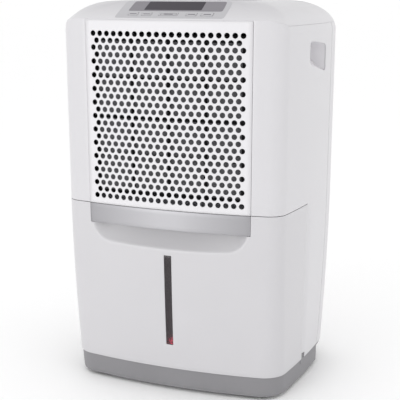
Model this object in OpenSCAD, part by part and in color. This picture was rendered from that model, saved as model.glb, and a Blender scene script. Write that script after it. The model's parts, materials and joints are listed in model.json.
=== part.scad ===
// Portable household dehumidifier: a casing with a perforated intake grille at the front,
// a water bucket that slides out below it, and the cooling circuit, blower and casters inside.
// Origin: centre of the footprint on the floor. +Z up, front facing -Y, right side +X, mm.

/* [Casing] */
// Greatest width across the bowed sides
body_w = 386; // [376:1:396]
// Depth from the crest of the bowed front to the flat back
body_d = 300; // [296:1:304]
// Height of the flat top above the floor
body_h = 602; // [600:1:606]
// Plan radius of the bowed front
front_r = 912; // [850:1:1000]
// Plan radius of the bowed sides
side_r = 1265; // [1200:1:1350]
// Plan radius of the front corners
corner_r = 28; // [24:1:34]
// Plan radius of the rear corners
rear_r = 63; // [58:1:68]
// Wall thickness of the moulded shells
wall = 2.6; // [2.2:0.1:3]
// Inward draw of the lower body at the base
draw_in = 12.9; // [8:0.1:14]
// Share of that draw taken by the sides
side_share = 0.35; // [0.3:0.05:0.45]
// Gap between shells that part from each other
seam = 0.8; // [0.5:0.1:1.2]

/* [Heights] */
// Underside of the base tray above the floor
base_z = 6; // [4:0.5:8]
// Top edge of the base tray
base_top = 38; // [34:1:40]
// Joint line between the bucket and the upper casing
bucket_top = 297; // [292:1:300]
// Front crease where the sloping control area starts
crease_z = 577; // [574:1:580]
// Height on the sides where the round shoulders start
shoulder_z = 557; // [550:1:560]
// Lower edge of the silver strip on the bucket
strip_z = 266; // [262:1:270]

/* [Grille] */
// Width of the removable perforated panel
panel_w = 263; // [262:1:264]
// Distance between neighbouring holes in a row
hole_pitch = 11.8; // [11.6:0.1:11.9]
// Hole diameter
hole_d = 8; // [7:0.1:8.6]
// Holes in the longer rows
hole_cols = 21; // [15:2:21]
// Number of rows
hole_rows = 25; // [15:2:25]
// Height of the middle row
hole_mid_z = 433; // [430:1:436]

/* [Control panel] */
// Sideways place of the middle of the overlay
overlay_x = 3; // [1:1:5]
// Width of the overlay
overlay_w = 170; // [160:1:180]
// Width of the dark display
display_w = 90; // [80:1:100]

/* [Bucket] */
// Where the bucket front ends on each side
fascia_y = -31; // [-36:1:-28]
// Inset of the tub from the outside of the casing
tub_inset = 9; // [8.5:0.5:11]
// Rear wall of the tub
tub_back = 8; // [0:1:10]
// Underside of the tub
tub_z = 45; // [44:1:48]
// Rim of the tub
tub_rim = 229; // [220:1:230]
// Sideways middle of the level window
window_x = 2; // [-4:1:4]
// Width of the level window
window_w = 12.5; // [10:0.5:16]

/* [Casters] */
// Wheel diameter
wheel_d = 24; // [20:1:26]
// Sideways distance of the swivel axes from the middle
caster_x = 132; // [120:1:134]
// Front swivel axis
caster_front = -97; // [-100:1:-90]
// Rear swivel axis
caster_rear = 106; // [95:1:110]

/* [Blower] */
// Sideways place of the blower axis
fan_x = -35; // [-40:1:-30]
// Height of the blower axis
fan_z = 420; // [415:1:425]
// Wheel diameter
fan_d = 144; // [130:2:146]
// Wheel blades
fan_blades = 30; // [24:2:36]

/* [Hidden] */
front_y = -body_d / 2;
back_y = body_d / 2;
side_y = 80;                       // where the sides are widest
split_y = 70;                      // joint between the cabinet and the rear housing
side_in = 75;                      // how far the round shoulders reach in
front_in = 49;                     // depth of the sloping control area
rear_in = 45;
dome_rows = [15, 25, 35, 47, 60, 75, 90];
wall_rows = [60, 95, 140, 200, bucket_top];
open_top = [15, 22];               // inner block of a shell runs past its top edge
slope = atan((body_h - crease_z) / front_in);
row_pitch = hole_pitch * sqrt(3) / 2;
fit = 0.05;                        // radial running clearance of pins and shafts
handle_y = [-38, 38];              // hand recess, front to back
handle_front_z = [511, 545];       // hand recess at its front edge, bottom to top
handle_rear_z = [495, 537];        // and at its rear edge
notch_y = [-30.6, -12];            // notch at the foot of each side wall
notch_top = base_top + 9;
scoop_r = 42;
scoop_y = front_y - 18;
scoop_z = 273;
bail_pivot = [-60, 216];           // bucket handle pivot, Y and Z
bail_reach = [50, 21];             // from the pivot to the bar, Y and Z
tub_x = 172;                       // flat sides of the tub
tub_wall = 2.2;
arm_x = tub_x + 2;                 // middle of the handle's arms
float_z = 72;                      // bottom of the red level float
float_pivot = [-100, -6, 214];     // pin of the shut-off float
cap_at = [-120, 100];              // run capacitor axis
louvre = [200, 70];                // outlet opening in the top
louvre_y = -15;
spout_at = [-95, 320];             // drain spout, X and Z
gland_at = [84, 84];              // cord gland, X and Z
casters = [[-1, caster_front], [1, caster_front], [-1, caster_rear], [1, caster_rear]];
trail = 9;                         // caster wheel axle behind the swivel axis
wheel_w = 13;
stem_r = 3.5;
comp_at = [62, 76];                // compressor axis
comp_r = 48;
foot_r = 41;                       // circle of the compressor feet
can_z = [44, 224];                 // straight part of the compressor can
end_bulge = 80;                    // sets how far its ends are domed
lever_pivot = [10.8, 264];         // switch lever pin, Y and Z
key_at = [[-57.5, 15], [-35.5, 15], [-1, 28], [34.5, 15], [58, 17]];  // place from the middle, width

$fn = 48;

// ---- Plan outline: bowed front, round corners, bowed sides, flat back ----

// Centres of the front and side arcs
front_c = [0, front_y + front_r];
side_c = [body_w / 2 - side_r, side_y];

// Right-hand meeting point of two circles, the one nearer the front or the back
function meet(a, ra, b, rb, lower) =
  let (d = norm(b - a), u = (b - a) / d, k = (ra * ra - rb * rb + d * d) / (2 * d),
       h = sqrt(ra * ra - k * k), p = a + k * u, n = [-u.y, u.x])
  let (p1 = p + h * n, p2 = p - h * n)
  (p1.y < p2.y) == lower ? p1 : p2;

function heading(a, b) = atan2(b.y - a.y, b.x - a.x);
function arc(c, r, a0, a1, n, from = 1) =
  [for (i = [from:n]) c + r * [cos(a0 + (a1 - a0) * i / n), sin(a0 + (a1 - a0) * i / n)]];

n_front = 7;
n_corner = 6;
n_side = 6;
n_rear = 7;

// Half outline from the middle of the front round to the flat back
function half_plan(fi, si, ri, rc, rr) =
  let (cc = meet(front_c, front_r - fi - rc, side_c, side_r - si - rc, true),
       cy = back_y - ri - rr,
       cr = [side_c.x + sqrt(pow(side_r - si - rr, 2) - pow(cy - side_c.y, 2)), cy],
       a1 = heading(front_c, cc), a2 = heading(side_c, cc), a3 = heading(side_c, cr))
  concat(arc(front_c, front_r - fi, -90, a1, n_front, 0), arc(cc, rc, a1, a2, n_corner),
         arc(side_c, side_r - si, a2, a3, n_side), arc(cr, rr, a3, 90, n_rear));

function whole(h) = concat(h, [for (i = [len(h) - 1:-1:1]) [-h[i].x, h[i].y]]);
function plan(e) = whole(half_plan(e, e, e, max(corner_r - e, 4), max(rear_r - e, 6)));
function plateau(e) = whole(half_plan(front_in + e, side_in + e, rear_in + e, 24, 30));

// Share of the front profile at each outline point: one on the front, none on the sides
function half_share(i) = i <= n_front ? 1 : max(0, 1 - (i - n_front) / n_corner);
function share(i) =
  let (m = 1 + n_front + n_corner + n_side + n_rear) half_share(i < m ? i : 2 * m - 1 - i);

// Inward draw of the wall at height z
function draw(z) = z >= bucket_top ? 0 :
  draw_in * pow((bucket_top - z) / (bucket_top - base_z), 1.8);
// The sides draw in less than the front and the back, and the corners grow rounder instead
function wall_ring(e, z) =
  let (d = draw(z), grown = d * (1 - side_share) * 1.62,
       h = half_plan(e + d, e + side_share * d, e + d, max(corner_r - e + grown, 4), rear_r - e + grown))
  [for (p = whole(h)) [p.x, p.y, z]];

// Ring of the domed top at profile angle a: an elliptical shoulder on the sides and back,
// and an upright stretch and then a straight slope at the front
function dome_ring(e, a) =
  let (p = plan(e), q = plateau(0), s = max(0, (a - 15) / 75),
       zf = a <= 15 ? shoulder_z + (crease_z - shoulder_z) * a / 15
                    : crease_z + (body_h - crease_z) * s,
       zs = shoulder_z + (body_h - shoulder_z) * sin(a))
  [for (i = [0:len(p) - 1])
    let (w = share(i), f = w * s + (1 - w) * (1 - cos(a)), xy = p[i] + (q[i] - p[i]) * f)
    [xy.x, xy.y, w * zf + (1 - w) * zs - e * sin(min(90, a * 2.2))]];

// Closed solid through a stack of rings, with a fan from the middle of each end ring
function middle(r) = [for (p = r) 1] * r / len(r);
module loft(rings) {
  n = len(rings[0]);
  m = len(rings);
  polyhedron(
    points = concat([for (r = rings) for (p = r) p], [middle(rings[0]), middle(rings[m - 1])]),
    faces = concat(
      [for (i = [0:n - 1]) [m * n, i, (i + 1) % n]],
      [for (j = [0:m - 2]) for (i = [0:n - 1]) let (k = (i + 1) % n)
        each [[j * n + i, (j + 1) * n + i, j * n + k],
              [j * n + k, (j + 1) * n + i, (j + 1) * n + k]]],
      [for (i = [0:n - 1]) [m * n + 1, (m - 1) * n + (i + 1) % n, (m - 1) * n + i]]),
    convexity = 8);
}

// Straight and drawn-in casing walls, inset by e, from height z0 to the cap
module casing_block(e, z0 = base_top, top_angles = [15]) {
  loft(concat([for (z = concat([z0], wall_rows)) wall_ring(e, z)],
              [dome_ring(e, 0)], [for (a = top_angles) dome_ring(e, a)]));
}
// The domed top, inset by e, down to the cap's lower edge
module dome_block(e) {
  loft(concat([dome_ring(e, 0)], [for (a = dome_rows) dome_ring(e, a)]));
}
// The lower part of the same block, inset by e, between heights z0 and z1
module lower_block(e, z0, z1) {
  intersection() {
    loft([for (z = concat([20], wall_rows, [310])) wall_ring(e, z)]);
    box([-200, 200], [-200, 200], [z0, z1]);
  }
}
// Upright prism over a band of the bowed front, from inset e0 to e1 and from x0 to x1
module band(e0, e1, x0, x1, z0 = 560, z1 = 620) {
  steps = 8;
  function on_arc(e, t) = let (x = x0 + (x1 - x0) * t / steps)
    [x, front_c.y - sqrt(pow(front_r - e, 2) - x * x)];
  translate([0, 0, z0])
    linear_extrude(z1 - z0)
      polygon(concat([for (t = [0:steps]) on_arc(e0, t)], [for (t = [steps:-1:0]) on_arc(e1, t)]));
}
// True curved slab of the bowed front, between insets e0 and e1 and between -w and w
module front_slab(e0, e1, w, z0, z1) {
  intersection() {
    translate([front_c.x, front_c.y, z0])
      difference() {
        cylinder(h = z1 - z0, r = front_r - e0, $fn = 200);
        translate([0, 0, -1])
          cylinder(h = z1 - z0 + 2, r = front_r - e1, $fn = 200);
      }
    box([-w, w], [front_y - 10, -100], [z0, z1]);
  }
}
module box(x, y, z) {
  translate([x[0], y[0], z[0]])
    cube([x[1] - x[0], y[1] - y[0], z[1] - z[0]]);
}
// Cylinder along Y from y0 to y1
module rod_y(x, z, y0, y1, r) {
  translate([x, y0, z])
    rotate([-90, 0, 0])
      cylinder(h = y1 - y0, r = r);
}
// Cylinder along X from x0 to x1
module rod_x(y, z, x0, x1, r) {
  translate([x0, y, z])
    rotate([0, 90, 0])
      cylinder(h = x1 - x0, r = r);
}
// Unit vector
function unit(v) = v / norm(v);
// Path with each corner rounded off: two points and a bend of five points between them
function rounded(pts, b) = concat([pts[0]],
  [for (i = [1:len(pts) - 2])
    let (p = pts[i], a = p + b * unit(pts[i - 1] - p), c = p + b * unit(pts[i + 1] - p))
    each [for (t = [0:0.25:1]) (1 - t) * (1 - t) * a + 2 * t * (1 - t) * p + t * t * c]],
  [pts[len(pts) - 1]]);
// Sideways directions carried along a path without twisting
function carried(t, u, i = 0) = i == len(t) ? [] :
  let (v = unit(u - (u * t[i]) * t[i])) concat([v], carried(t, v, i + 1));
// Ten-sided tube along a path, with bends of length b
module tube(pts, r, b) {
  path = rounded(pts, b);
  m = len(path);
  sides = 10;
  dirs = [for (i = [0:m - 1]) unit(path[min(i + 1, m - 1)] - path[max(i - 1, 0)])];
  side = carried(dirs, abs(dirs[0].z) > 0.9 ? [1, 0, 0] : [0, 0, 1]);
  loft([for (i = [0:m - 1]) let (w = cross(dirs[i], side[i]))
    [for (k = [0:sides - 1]) path[i] + r * (cos(360 * k / sides) * side[i] + sin(360 * k / sides) * w)]]);
}

// ---- Casing ----

base_inset = 2;
base_wall = 3;
tray_rows = [14, 24];
cut_from = [187, 57];              // where the base's rear corners are cut back, X and Y
cut_to = [152, 133];
cut_top = 33;                      // a rim above keeps the full outline
cup_r = 25;
cup_roof = 33;

// The base without its rear corners, g further in
module cut_back(g) {
  difference() {
    children();
    for (m = [0, 1])
      mirror([m, 0, 0])
        linear_extrude(cut_top + g)
          polygon([cut_from - [g, g], cut_to - [g, 0], [cut_to.x - g, 200], [220, 200],
                   [220, cut_from.y - g]]);
  }
}

module base_tray() {
  color([0.53, 0.53, 0.54])
    difference() {
      union() {
        difference() {
          cut_back(0)
            loft([for (z = concat([base_z], tray_rows, [base_top - 0.2])) wall_ring(base_inset, z)]);
          cut_back(base_wall)
            loft([for (z = concat([base_z + 4], tray_rows, [base_top + 1]))
              wall_ring(base_inset + base_wall, z)]);
        }
        // tabs that close the notches at the foot of the side walls
        for (s = [-1, 1])
          box([s * 182 - 1.5, s * 182 + 1.5], [notch_y[0] + 1, notch_y[1] - 0.6], [30, notch_top - 0.6]);
        for (c = casters)
          translate([c[0] * caster_x, c[1], base_z + 1])
            cylinder(h = cup_roof + 2 - base_z - 1, r = cup_r + 2);
        for (c = casters)
          translate([c[0] * caster_x, c[1], cup_roof])
            cylinder(h = 10, r = 8);
        for (s = [-1, 1])
          box([s * 70 - 5, s * 70 + 5], [-118, 2], [base_z + 3, tub_z - 0.4]);
      }
      for (c = casters)
        translate([c[0] * caster_x, c[1], base_z - 1])
          cylinder(h = cup_roof - base_z + 1, r = cup_r);
      for (c = casters)
        translate([c[0] * caster_x, c[1], cup_roof - 1])
          cylinder(h = 20, r = 5.5);
      for (i = [0:2])
        translate([comp_at.x + foot_r * cos(90 + 120 * i), comp_at.y + foot_r * sin(90 + 120 * i),
                   base_z + 1])
          cylinder(h = 10, r = 2.2);
    }
}

module panel_opening() {
  box([-panel_w / 2 - 0.4, panel_w / 2 + 0.4], [front_y - 5, -112], [bucket_top - 5, 600]);
}

module cabinet() {
  color([0.86, 0.86, 0.87])
    difference() {
      union() {
        difference() {
          casing_block(0);
          casing_block(wall, base_top - 5, open_top);
          panel_opening();
        }
        // seat behind the grille
        difference() {
          box([-150, 150], [-136.5, -134], [bucket_top + 3, 568]);
          box([-122, 122], [-140, -130], [bucket_top + 15, 556]);
        }
        // top rail that the seat hangs from
        box([-140, 140], [-137, -126], [566, 568.4]);
      }
      // rear housing, bucket front and hand recesses
      box([-200, 200], [split_y, 200], [0, 700]);
      box([-200, 200], [-200, fascia_y + 1], [0, bucket_top + seam / 2]);
      for (m = [0, 1])
        mirror([m, 0, 0]) {
          handle_hole(0);
          box([150, 200], notch_y, [0, notch_top]);
        }
    }
}

screw_at = [for (s = [-1, 1]) for (z = [90, 250, 410, 535]) [s * 118, z]];

module rear_housing() {
  color([0.86, 0.86, 0.87])
    difference() {
      union() {
        difference() {
          casing_block(0);
          casing_block(wall, base_top - 5, open_top);
        }
        for (p = screw_at)
          rod_y(p.x, p.y, back_y - draw(p.y) - 14, back_y - draw(p.y) - 1, 6.5);
        rod_y(spout_at.x, spout_at.y, back_y - 22, back_y - 1, 24);
      }
      box([-200, 200], [-200, split_y + 0.4], [0, 700]);
      for (p = screw_at) {
        rod_y(p.x, p.y, back_y - draw(p.y) - 20, back_y + 1, 2.2);
        rod_y(p.x, p.y, back_y - draw(p.y) - 3, back_y + 1, 4.6);
      }
      rod_y(spout_at.x, spout_at.y, back_y - 20, back_y + 1, 21.5);
      rod_y(spout_at.x, spout_at.y, back_y - 30, back_y, 9);
      rod_y(gland_at.x, gland_at.y, back_y - 40, back_y + 1, 8);
    }
}

// Skin of the sloping control area between depths d0 and d1 below the surface
module slope_skin(d0, d1) {
  intersection() {
    children();
    difference() {
      dome_block(d0);
      dome_block(d1);
    }
  }
}
module overlay_band(g = 0) {
  band(3 - g, 48 + g, overlay_x - overlay_w / 2 - g, overlay_x + overlay_w / 2 + g);
}
module bezel_band(g = 0) {
  band(21 - g, 47 + g, overlay_x - 70 - g, overlay_x + 77 + g);
}
module display_band(g = 0) {
  band(24 - g, 46.5 + g, overlay_x - display_w / 2 - g, overlay_x + display_w / 2 + g);
}
module key_band(i, g = 0) {
  x = overlay_x + key_at[i][0];
  w = key_at[i][1] / 2;
  band(9.5 - g, 16.5 + g, x - w - g, x + w + g);
}

module top_cover() {
  color([0.84, 0.84, 0.85])
    difference() {
      dome_block(0);
      dome_block(wall);
      // lower edge rests on the cabinet's top edge
      casing_block(-1);
      difference() {
        overlay_band(0.2);
        dome_block(0.8);
      }
      for (i = [0:4])
        key_band(i, 0.5);
      box([-louvre.x / 2 - 0.4, louvre.x / 2 + 0.4],
          [louvre_y - louvre.y / 2 - 0.4, louvre_y + louvre.y / 2 + 0.4], [580, 620]);
    }
}

// ---- Intake ----

module intake_grille() {
  color([0.93, 0.93, 0.94])
    difference() {
      front_slab(0, 2.5, panel_w / 2, bucket_top + seam / 2, crease_z - 1.2);
      for (r = [0:hole_rows - 1])
        for (c = [0:hole_cols - 1 - r % 2])
          rod_y((c - (hole_cols - 1 - r % 2) / 2) * hole_pitch,
                hole_mid_z + ((hole_rows - 1) / 2 - r) * row_pitch, front_y - 5, -110, hole_d / 2);
    }
}

module filter_frame() {
  color([0.2, 0.2, 0.22])
    difference() {
      box([-121, 121], [-136, -129], [bucket_top + 16, 555]);
      for (i = [0:3])
        for (j = [0:3])
          box([-115 + i * 58.5, -115 + i * 58.5 + 54.5], [-140, -120],
              [bucket_top + 22 + j * 57.5, bucket_top + 22 + j * 57.5 + 53.5]);
      box([-117, 117], [-133.2, -131.8], [bucket_top + 20, 551.5]);
    }
}
module filter_mesh() {
  color([0.12, 0.12, 0.13])
    box([-116.6, 116.6], [-133, -132], [bucket_top + 20.4, 551]);
}

// ---- Hand recesses: a pocket with a floor that ramps up at 45 degrees ----

cup_back = 165.2;                  // where the pocket ends
cup_mouth = 196;                   // well outside the wall
cup_wall = 2;
cup_lip = 7;                       // flange round the hole
cup_gap = 0.3;
cup_rise = 20;                     // how far the pocket's floor climbs to its back

// Skewed opening in the right side wall, grown by g, running inwards from outside the wall
module handle_hole(g) {
  translate([150, 0, 0])
    rotate([90, 0, 90])
      linear_extrude(60)
        polygon([[handle_y[0] - g, handle_front_z[0] - g], [handle_y[1] + g, handle_rear_z[0] - g],
                 [handle_y[1] + g, handle_rear_z[1] + g], [handle_y[0] - g, handle_front_z[1] + g]]);
}
// Section of the pocket, grown by g: its floor rises at 45 degrees to its back
module cup_section(g) {
  function floor_z(x) = handle_rear_z[0] + cup_rise - (x - cup_back);
  polygon([[cup_mouth, floor_z(cup_mouth) - 1.4 * g], [cup_back - g, floor_z(cup_back) - 0.4 * g],
           [cup_back - g, handle_front_z[1] + 2 * g], [cup_mouth, handle_front_z[1] + 2 * g]]);
}
module cup_prism(g) {
  intersection() {
    handle_hole(g);
    translate([0, handle_y[1] + g, 0])
      rotate([90, 0, 0])
        linear_extrude(handle_y[1] - handle_y[0] + 2 * g)
          cup_section(g);
  }
}
module handle_cup() {
  difference() {
    intersection() {
      casing_block(wall + cup_gap);
      union() {
        cup_prism(cup_wall);
        difference() {
          handle_hole(cup_lip);
          casing_block(wall + cup_gap + cup_wall, base_top - 5);
        }
      }
    }
    cup_prism(0);
  }
}
module handle_cup_right() {
  color([0.8, 0.8, 0.81])
    handle_cup();
}
module handle_cup_left() {
  color([0.8, 0.8, 0.81])
    mirror([1, 0, 0])
      handle_cup();
}

// ---- Water bucket ----

module scoop(r) {
  rod_x(scoop_y, scoop_z, -96, 96, r);
  for (s = [-1, 1])
    translate([s * 96, scoop_y, scoop_z])
      sphere(r = r);
}

module bucket_fascia() {
  color([0.87, 0.87, 0.88])
    difference() {
      union() {
        difference() {
          lower_block(0, base_top + seam, bucket_top - seam / 2);
          lower_block(wall, base_top, bucket_top);
          box([-panel_w / 2 - 0.4, panel_w / 2 + 0.4], [-160, -100], [strip_z, 310]);
        }
        intersection() {
          lower_block(1, base_top + seam, bucket_top - 4);
          scoop(scoop_r + 2.4);
        }
      }
      scoop(scoop_r);
      front_slab(-5, 3.6, panel_w / 2 + 0.4, strip_z, 310);
      box([-200, 200], [fascia_y, 200], [0, 700]);
      box([window_x - window_w / 2, window_x + window_w / 2], [-160, -130], [79, 226]);
    }
}

module bucket_trim() {
  top = bucket_top - seam / 2;
  color([0.76, 0.76, 0.77]) {
    front_slab(0.3, 3, panel_w / 2 - 0.4, strip_z + 0.3, top);
    front_slab(2, 24, panel_w / 2 - 0.4, top - 3, top);
  }
}

module window_lens() {
  color([0.27, 0.25, 0.26])
    intersection() {
      difference() {
        lower_block(0.5, 79.15, 225.85);
        lower_block(wall + 0.4, 70, 240);
      }
      box([window_x - window_w / 2 + 0.15, window_x + window_w / 2 - 0.15], [-160, -120], [70, 240]);
    }
}

// Tub block inset by e, t inside its flat sides and back
module tub_solid(e, t, z0, z1) {
  intersection() {
    lower_block(e + t, z0, z1);
    box([t - tub_x, tub_x - t], [-200, tub_back - t], [z0, z1]);
  }
}

module bucket_tub() {
  color([0.55, 0.57, 0.6])
    difference() {
      union() {
        difference() {
          tub_solid(tub_inset, 0, tub_z, tub_rim);
          tub_solid(tub_inset, tub_wall, tub_z + tub_wall, tub_rim + 1);
        }
        // guide for the level float
        intersection() {
          tub_solid(tub_inset, 1, tub_z + 1, 222);
          union() {
            for (s = [-1, 1])
              box([window_x + s * 7.2 - 1, window_x + s * 7.2 + 1], [-150, -116], [tub_z, 222]);
            box([window_x - 8, window_x + 8], [-150, -116], [float_z - 4, float_z - 1]);
          }
        }
        // ears for the shut-off float
        for (s = [-1, 1])
          box([float_pivot.x + s * 9 - 1.5, float_pivot.x + s * 9 + 1.5], [-12, tub_back - 1], [205, 222]);
      }
      for (s = [-1, 1])
        rod_x(bail_pivot[0], bail_pivot[1], s * tub_x - 8, s * tub_x + 8, 3 + fit);
      rod_x(float_pivot.y, float_pivot.z, -115, -85, 1.5 + fit);
      // keep the front edge clear of the finger scoop
      scoop(scoop_r + 3);
    }
}

module bucket_lid() {
  color([0.9, 0.9, 0.91])
    difference() {
      intersection() {
        tub_solid(tub_inset, 0, tub_rim + 0.2, tub_rim + 2.6);
        box([-200, 200], [-135, 200], [0, 400]);
      }
      box([-45, 45], [-95, -35], [200, 260]);
      box([-117, -83], [-20, 20], [200, 260]);
      box([window_x - 10, window_x + 10], [-150, -115], [200, 260]);
    }
}

bail_bar = [bail_pivot[0] + bail_reach[0], bail_pivot[1] + bail_reach[1]];

module bucket_handle() {
  color([0.8, 0.8, 0.82]) {
    difference() {
      union() {
        rod_x(bail_bar[0], bail_bar[1], -arm_x, arm_x, 5);
        for (s = [-1, 1]) {
          rod_x(bail_pivot[0], bail_pivot[1], s * arm_x - 1.5, s * arm_x + 1.5, 8);
          rod_x(bail_bar[0], bail_bar[1], s * arm_x - 1.5, s * arm_x + 1.5, 6.2);
          translate([s * arm_x, bail_pivot[0], bail_pivot[1]])
            rotate([atan2(bail_reach[1], bail_reach[0]), 0, 0])
              translate([-1.5, 0, -4])
                cube([3, norm(bail_reach), 8]);
        }
      }
      for (s = [-1, 1])
        rod_x(bail_pivot[0], bail_pivot[1], s * arm_x - 8, s * arm_x + 8, 3 + fit);
    }
  }
}
module handle_pins() {
  color([0.6, 0.6, 0.62])
    for (s = [-1, 1]) {
      rod_x(bail_pivot[0], bail_pivot[1], s * tub_x - 4.3, s * tub_x + 4.3, 3);
      rod_x(bail_pivot[0], bail_pivot[1], s * (tub_x - 3.4) - 0.9, s * (tub_x - 3.4) + 0.9, 5);
      rod_x(bail_pivot[0], bail_pivot[1], s * (tub_x + 4.8) - 0.9, s * (tub_x + 4.8) + 0.9, 5);
    }
}

module level_float() {
  color([0.78, 0.15, 0.2])
    box([window_x - 5.6, window_x + 5.6], [-129.5, -119], [float_z, float_z + 12]);
}
module shutoff_float() {
  color([0.93, 0.93, 0.9])
    difference() {
      union() {
        rod_x(float_pivot.y, float_pivot.z, -107, -93, 4);
        box([-103, -97], [-70, -6], [212, 216]);
        box([-116, -84], [-92, -58], [196, 212.5]);
      }
      rod_x(float_pivot.y, float_pivot.z, -120, -80, 1.5 + fit);
    }
}
module float_pin() {
  color([0.7, 0.7, 0.72])
    rod_x(float_pivot.y, float_pivot.z, -112, -88, 1.5);
}

// ---- Control panel ----

module control_overlay() {
  color([0.78, 0.78, 0.79])
    difference() {
      slope_skin(0.1, 0.75)
        overlay_band();
      bezel_band(0.1);
      for (i = [0:4])
        key_band(i, 0.5);
    }
}
module display_bezel() {
  color([0.6, 0.6, 0.62])
    difference() {
      slope_skin(0.1, 0.75)
        bezel_band();
      display_band(0.1);
    }
}
module display_window() {
  color([0.26, 0.25, 0.28])
    slope_skin(0.05, 0.7)
      display_band();
}
// Key cap that follows the slope, on a stem with a flange under the cover
module key(i) {
  color([0.74, 0.74, 0.76])
    intersection() {
      difference() {
        dome_block(-0.3);
        dome_block(4.2);
      }
      key_band(i);
    }
}
module key_power() { key(0); }
module key_mode() { key(1); }
module key_box() { key(2); }
module key_fan() { key(3); }
module key_timer() { key(4); }

module control_board() {
  color([0.1, 0.35, 0.18])
    translate([overlay_x, front_y + 6, crease_z - 6])
      rotate([slope, 0, 0]) {
        translate([-80, 6, -4])
          cube([160, 40, 1.6]);
        for (k = key_at)
          translate([k[0] - 3, 9, -2.5])
            cube([6, 6, 1.6]);
        translate([-45, 22, -2.5])
          cube([90, 20, 3]);
        for (s = [-1, 1])
          translate([s * 66, 30, -2.5])
            cylinder(h = 3, r = 5);
      }
}

// ---- Air outlet ----

module exhaust_louvre() {
  color([0.8, 0.8, 0.81]) {
    difference() {
      box([-louvre.x / 2, louvre.x / 2], [louvre_y - louvre.y / 2, louvre_y + louvre.y / 2],
          [594, body_h - 0.2]);
      box([-louvre.x / 2 + 4, louvre.x / 2 - 4],
          [louvre_y - louvre.y / 2 + 4, louvre_y + louvre.y / 2 - 4], [590, 610]);
    }
    for (i = [0:6])
      translate([0, louvre_y - 27 + i * 9, body_h - 4.2])
        rotate([35, 0, 0])
          cube([louvre.x - 6, 1.6, 7], center = true);
    for (x = [-50, 0, 50])
      box([x - 1, x + 1], [louvre_y - louvre.y / 2 + 2, louvre_y + louvre.y / 2 - 2], [594.5, 597]);
  }
}

scroll_y = [-48, 22];
outlet_z = 556;
tongue = 40;
function scroll_radius(a) = fan_d / 2 + 7 + 36 * (a - tongue) / (360 - tongue);
function scroll_points(t) = concat(
  [for (a = [tongue:10:360]) [fan_x, fan_z] + (scroll_radius(a) + t) * [cos(a), sin(a)]],
  [[fan_x + scroll_radius(360) + t, outlet_z], [fan_x + 62 - t, outlet_z]]);

module fan_scroll() {
  color([0.35, 0.36, 0.38])
    difference() {
      translate([0, scroll_y[1] + 2, 0])
        rotate([90, 0, 0])
          linear_extrude(scroll_y[1] - scroll_y[0] + 4)
            polygon(scroll_points(2));
      translate([0, scroll_y[1], 0])
        rotate([90, 0, 0])
          linear_extrude(scroll_y[1] - scroll_y[0])
            polygon(scroll_points(0));
      box([fan_x + 62, fan_x + scroll_radius(360)], scroll_y, [outlet_z - 10, outlet_z + 5]);
      rod_y(fan_x, fan_z, scroll_y[0] - 5, scroll_y[0] + 1, 60);
      rod_y(fan_x, fan_z, scroll_y[1] - 1, scroll_y[1] + 5, 14);
      for (a = [45:90:315])
        rod_y(fan_x + 34 * cos(a), fan_z + 34 * sin(a), scroll_y[1] - 1, scroll_y[1] + 5, 2.2);
    }
}

module exhaust_duct() {
  x0 = fan_x + 62;
  x1 = fan_x + scroll_radius(360);
  z0 = outlet_z + 0.5;
  z1 = 593.5;
  color([0.35, 0.36, 0.38])
    difference() {
      translate([0, scroll_y[1] + 2, 0])
        rotate([90, 0, 0])
          linear_extrude(scroll_y[1] - scroll_y[0] + 4)
            polygon([[x0 - 2, z0], [x1 + 2, z0], [94, z1], [-94, z1]]);
      translate([0, scroll_y[1], 0])
        rotate([90, 0, 0])
          linear_extrude(scroll_y[1] - scroll_y[0])
            polygon([[x0, z0 - 1], [x1, z0 - 1], [92, z1 + 1], [-92, z1 + 1]]);
    }
}

// ---- Deck between the bucket bay, the machine bay and the air path ----

module deck() {
  color([0.66, 0.68, 0.7])
    difference() {
      union() {
        box([-166, 166], [-120, 60], [bucket_top + 0.4, 300]);
        box([-160, 160], [18, 20.5], [base_z + 5, bucket_top + 1]);
      }
      // drain of the trough, and the two pipes
      translate([0, -72, 280])
        cylinder(h = 40, r = 9);
      box([88, 120], [26, 56], [290, 310]);
    }
}

module drain_trough() {
  color([0.25, 0.26, 0.28])
    difference() {
      union() {
        box([-126, 126], [-119, -54], [300.3, 316]);
        translate([0, -72, 284])
          cylinder(h = 20, r = 8.5);
      }
      box([-123.5, 123.5], [-116.5, -56.5], [303, 320]);
      translate([0, -72, 280])
        cylinder(h = 40, r = 6.5);
      rod_y(-110, 310, -60, -50, 4);
    }
}

module drain_hose() {
  color([0.75, 0.75, 0.74])
    tube([[-110, -53.6, 309.6], [-110, -34, 309.6], [-150, 0, 309.6], [-150, 60, 312],
          [spout_at.x, 84, spout_at.y], [spout_at.x, 113.6, spout_at.y]], 5, 10);
}
module drain_spout() {
  color([0.3, 0.3, 0.32])
    difference() {
      union() {
        rod_y(spout_at.x, spout_at.y, 114, 123, 7);
        rod_y(spout_at.x, spout_at.y, 122, 127.8, 12);
        rod_y(spout_at.x, spout_at.y, 127, 130.4, 8.8);
        rod_y(spout_at.x, spout_at.y, 130, back_y - 1, 8);
      }
      rod_y(spout_at.x, spout_at.y, 110, back_y + 1, 5.5);
    }
}

// ---- Cooling circuit ----

coil_w = 206;
coil_z = [318, 548];

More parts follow.
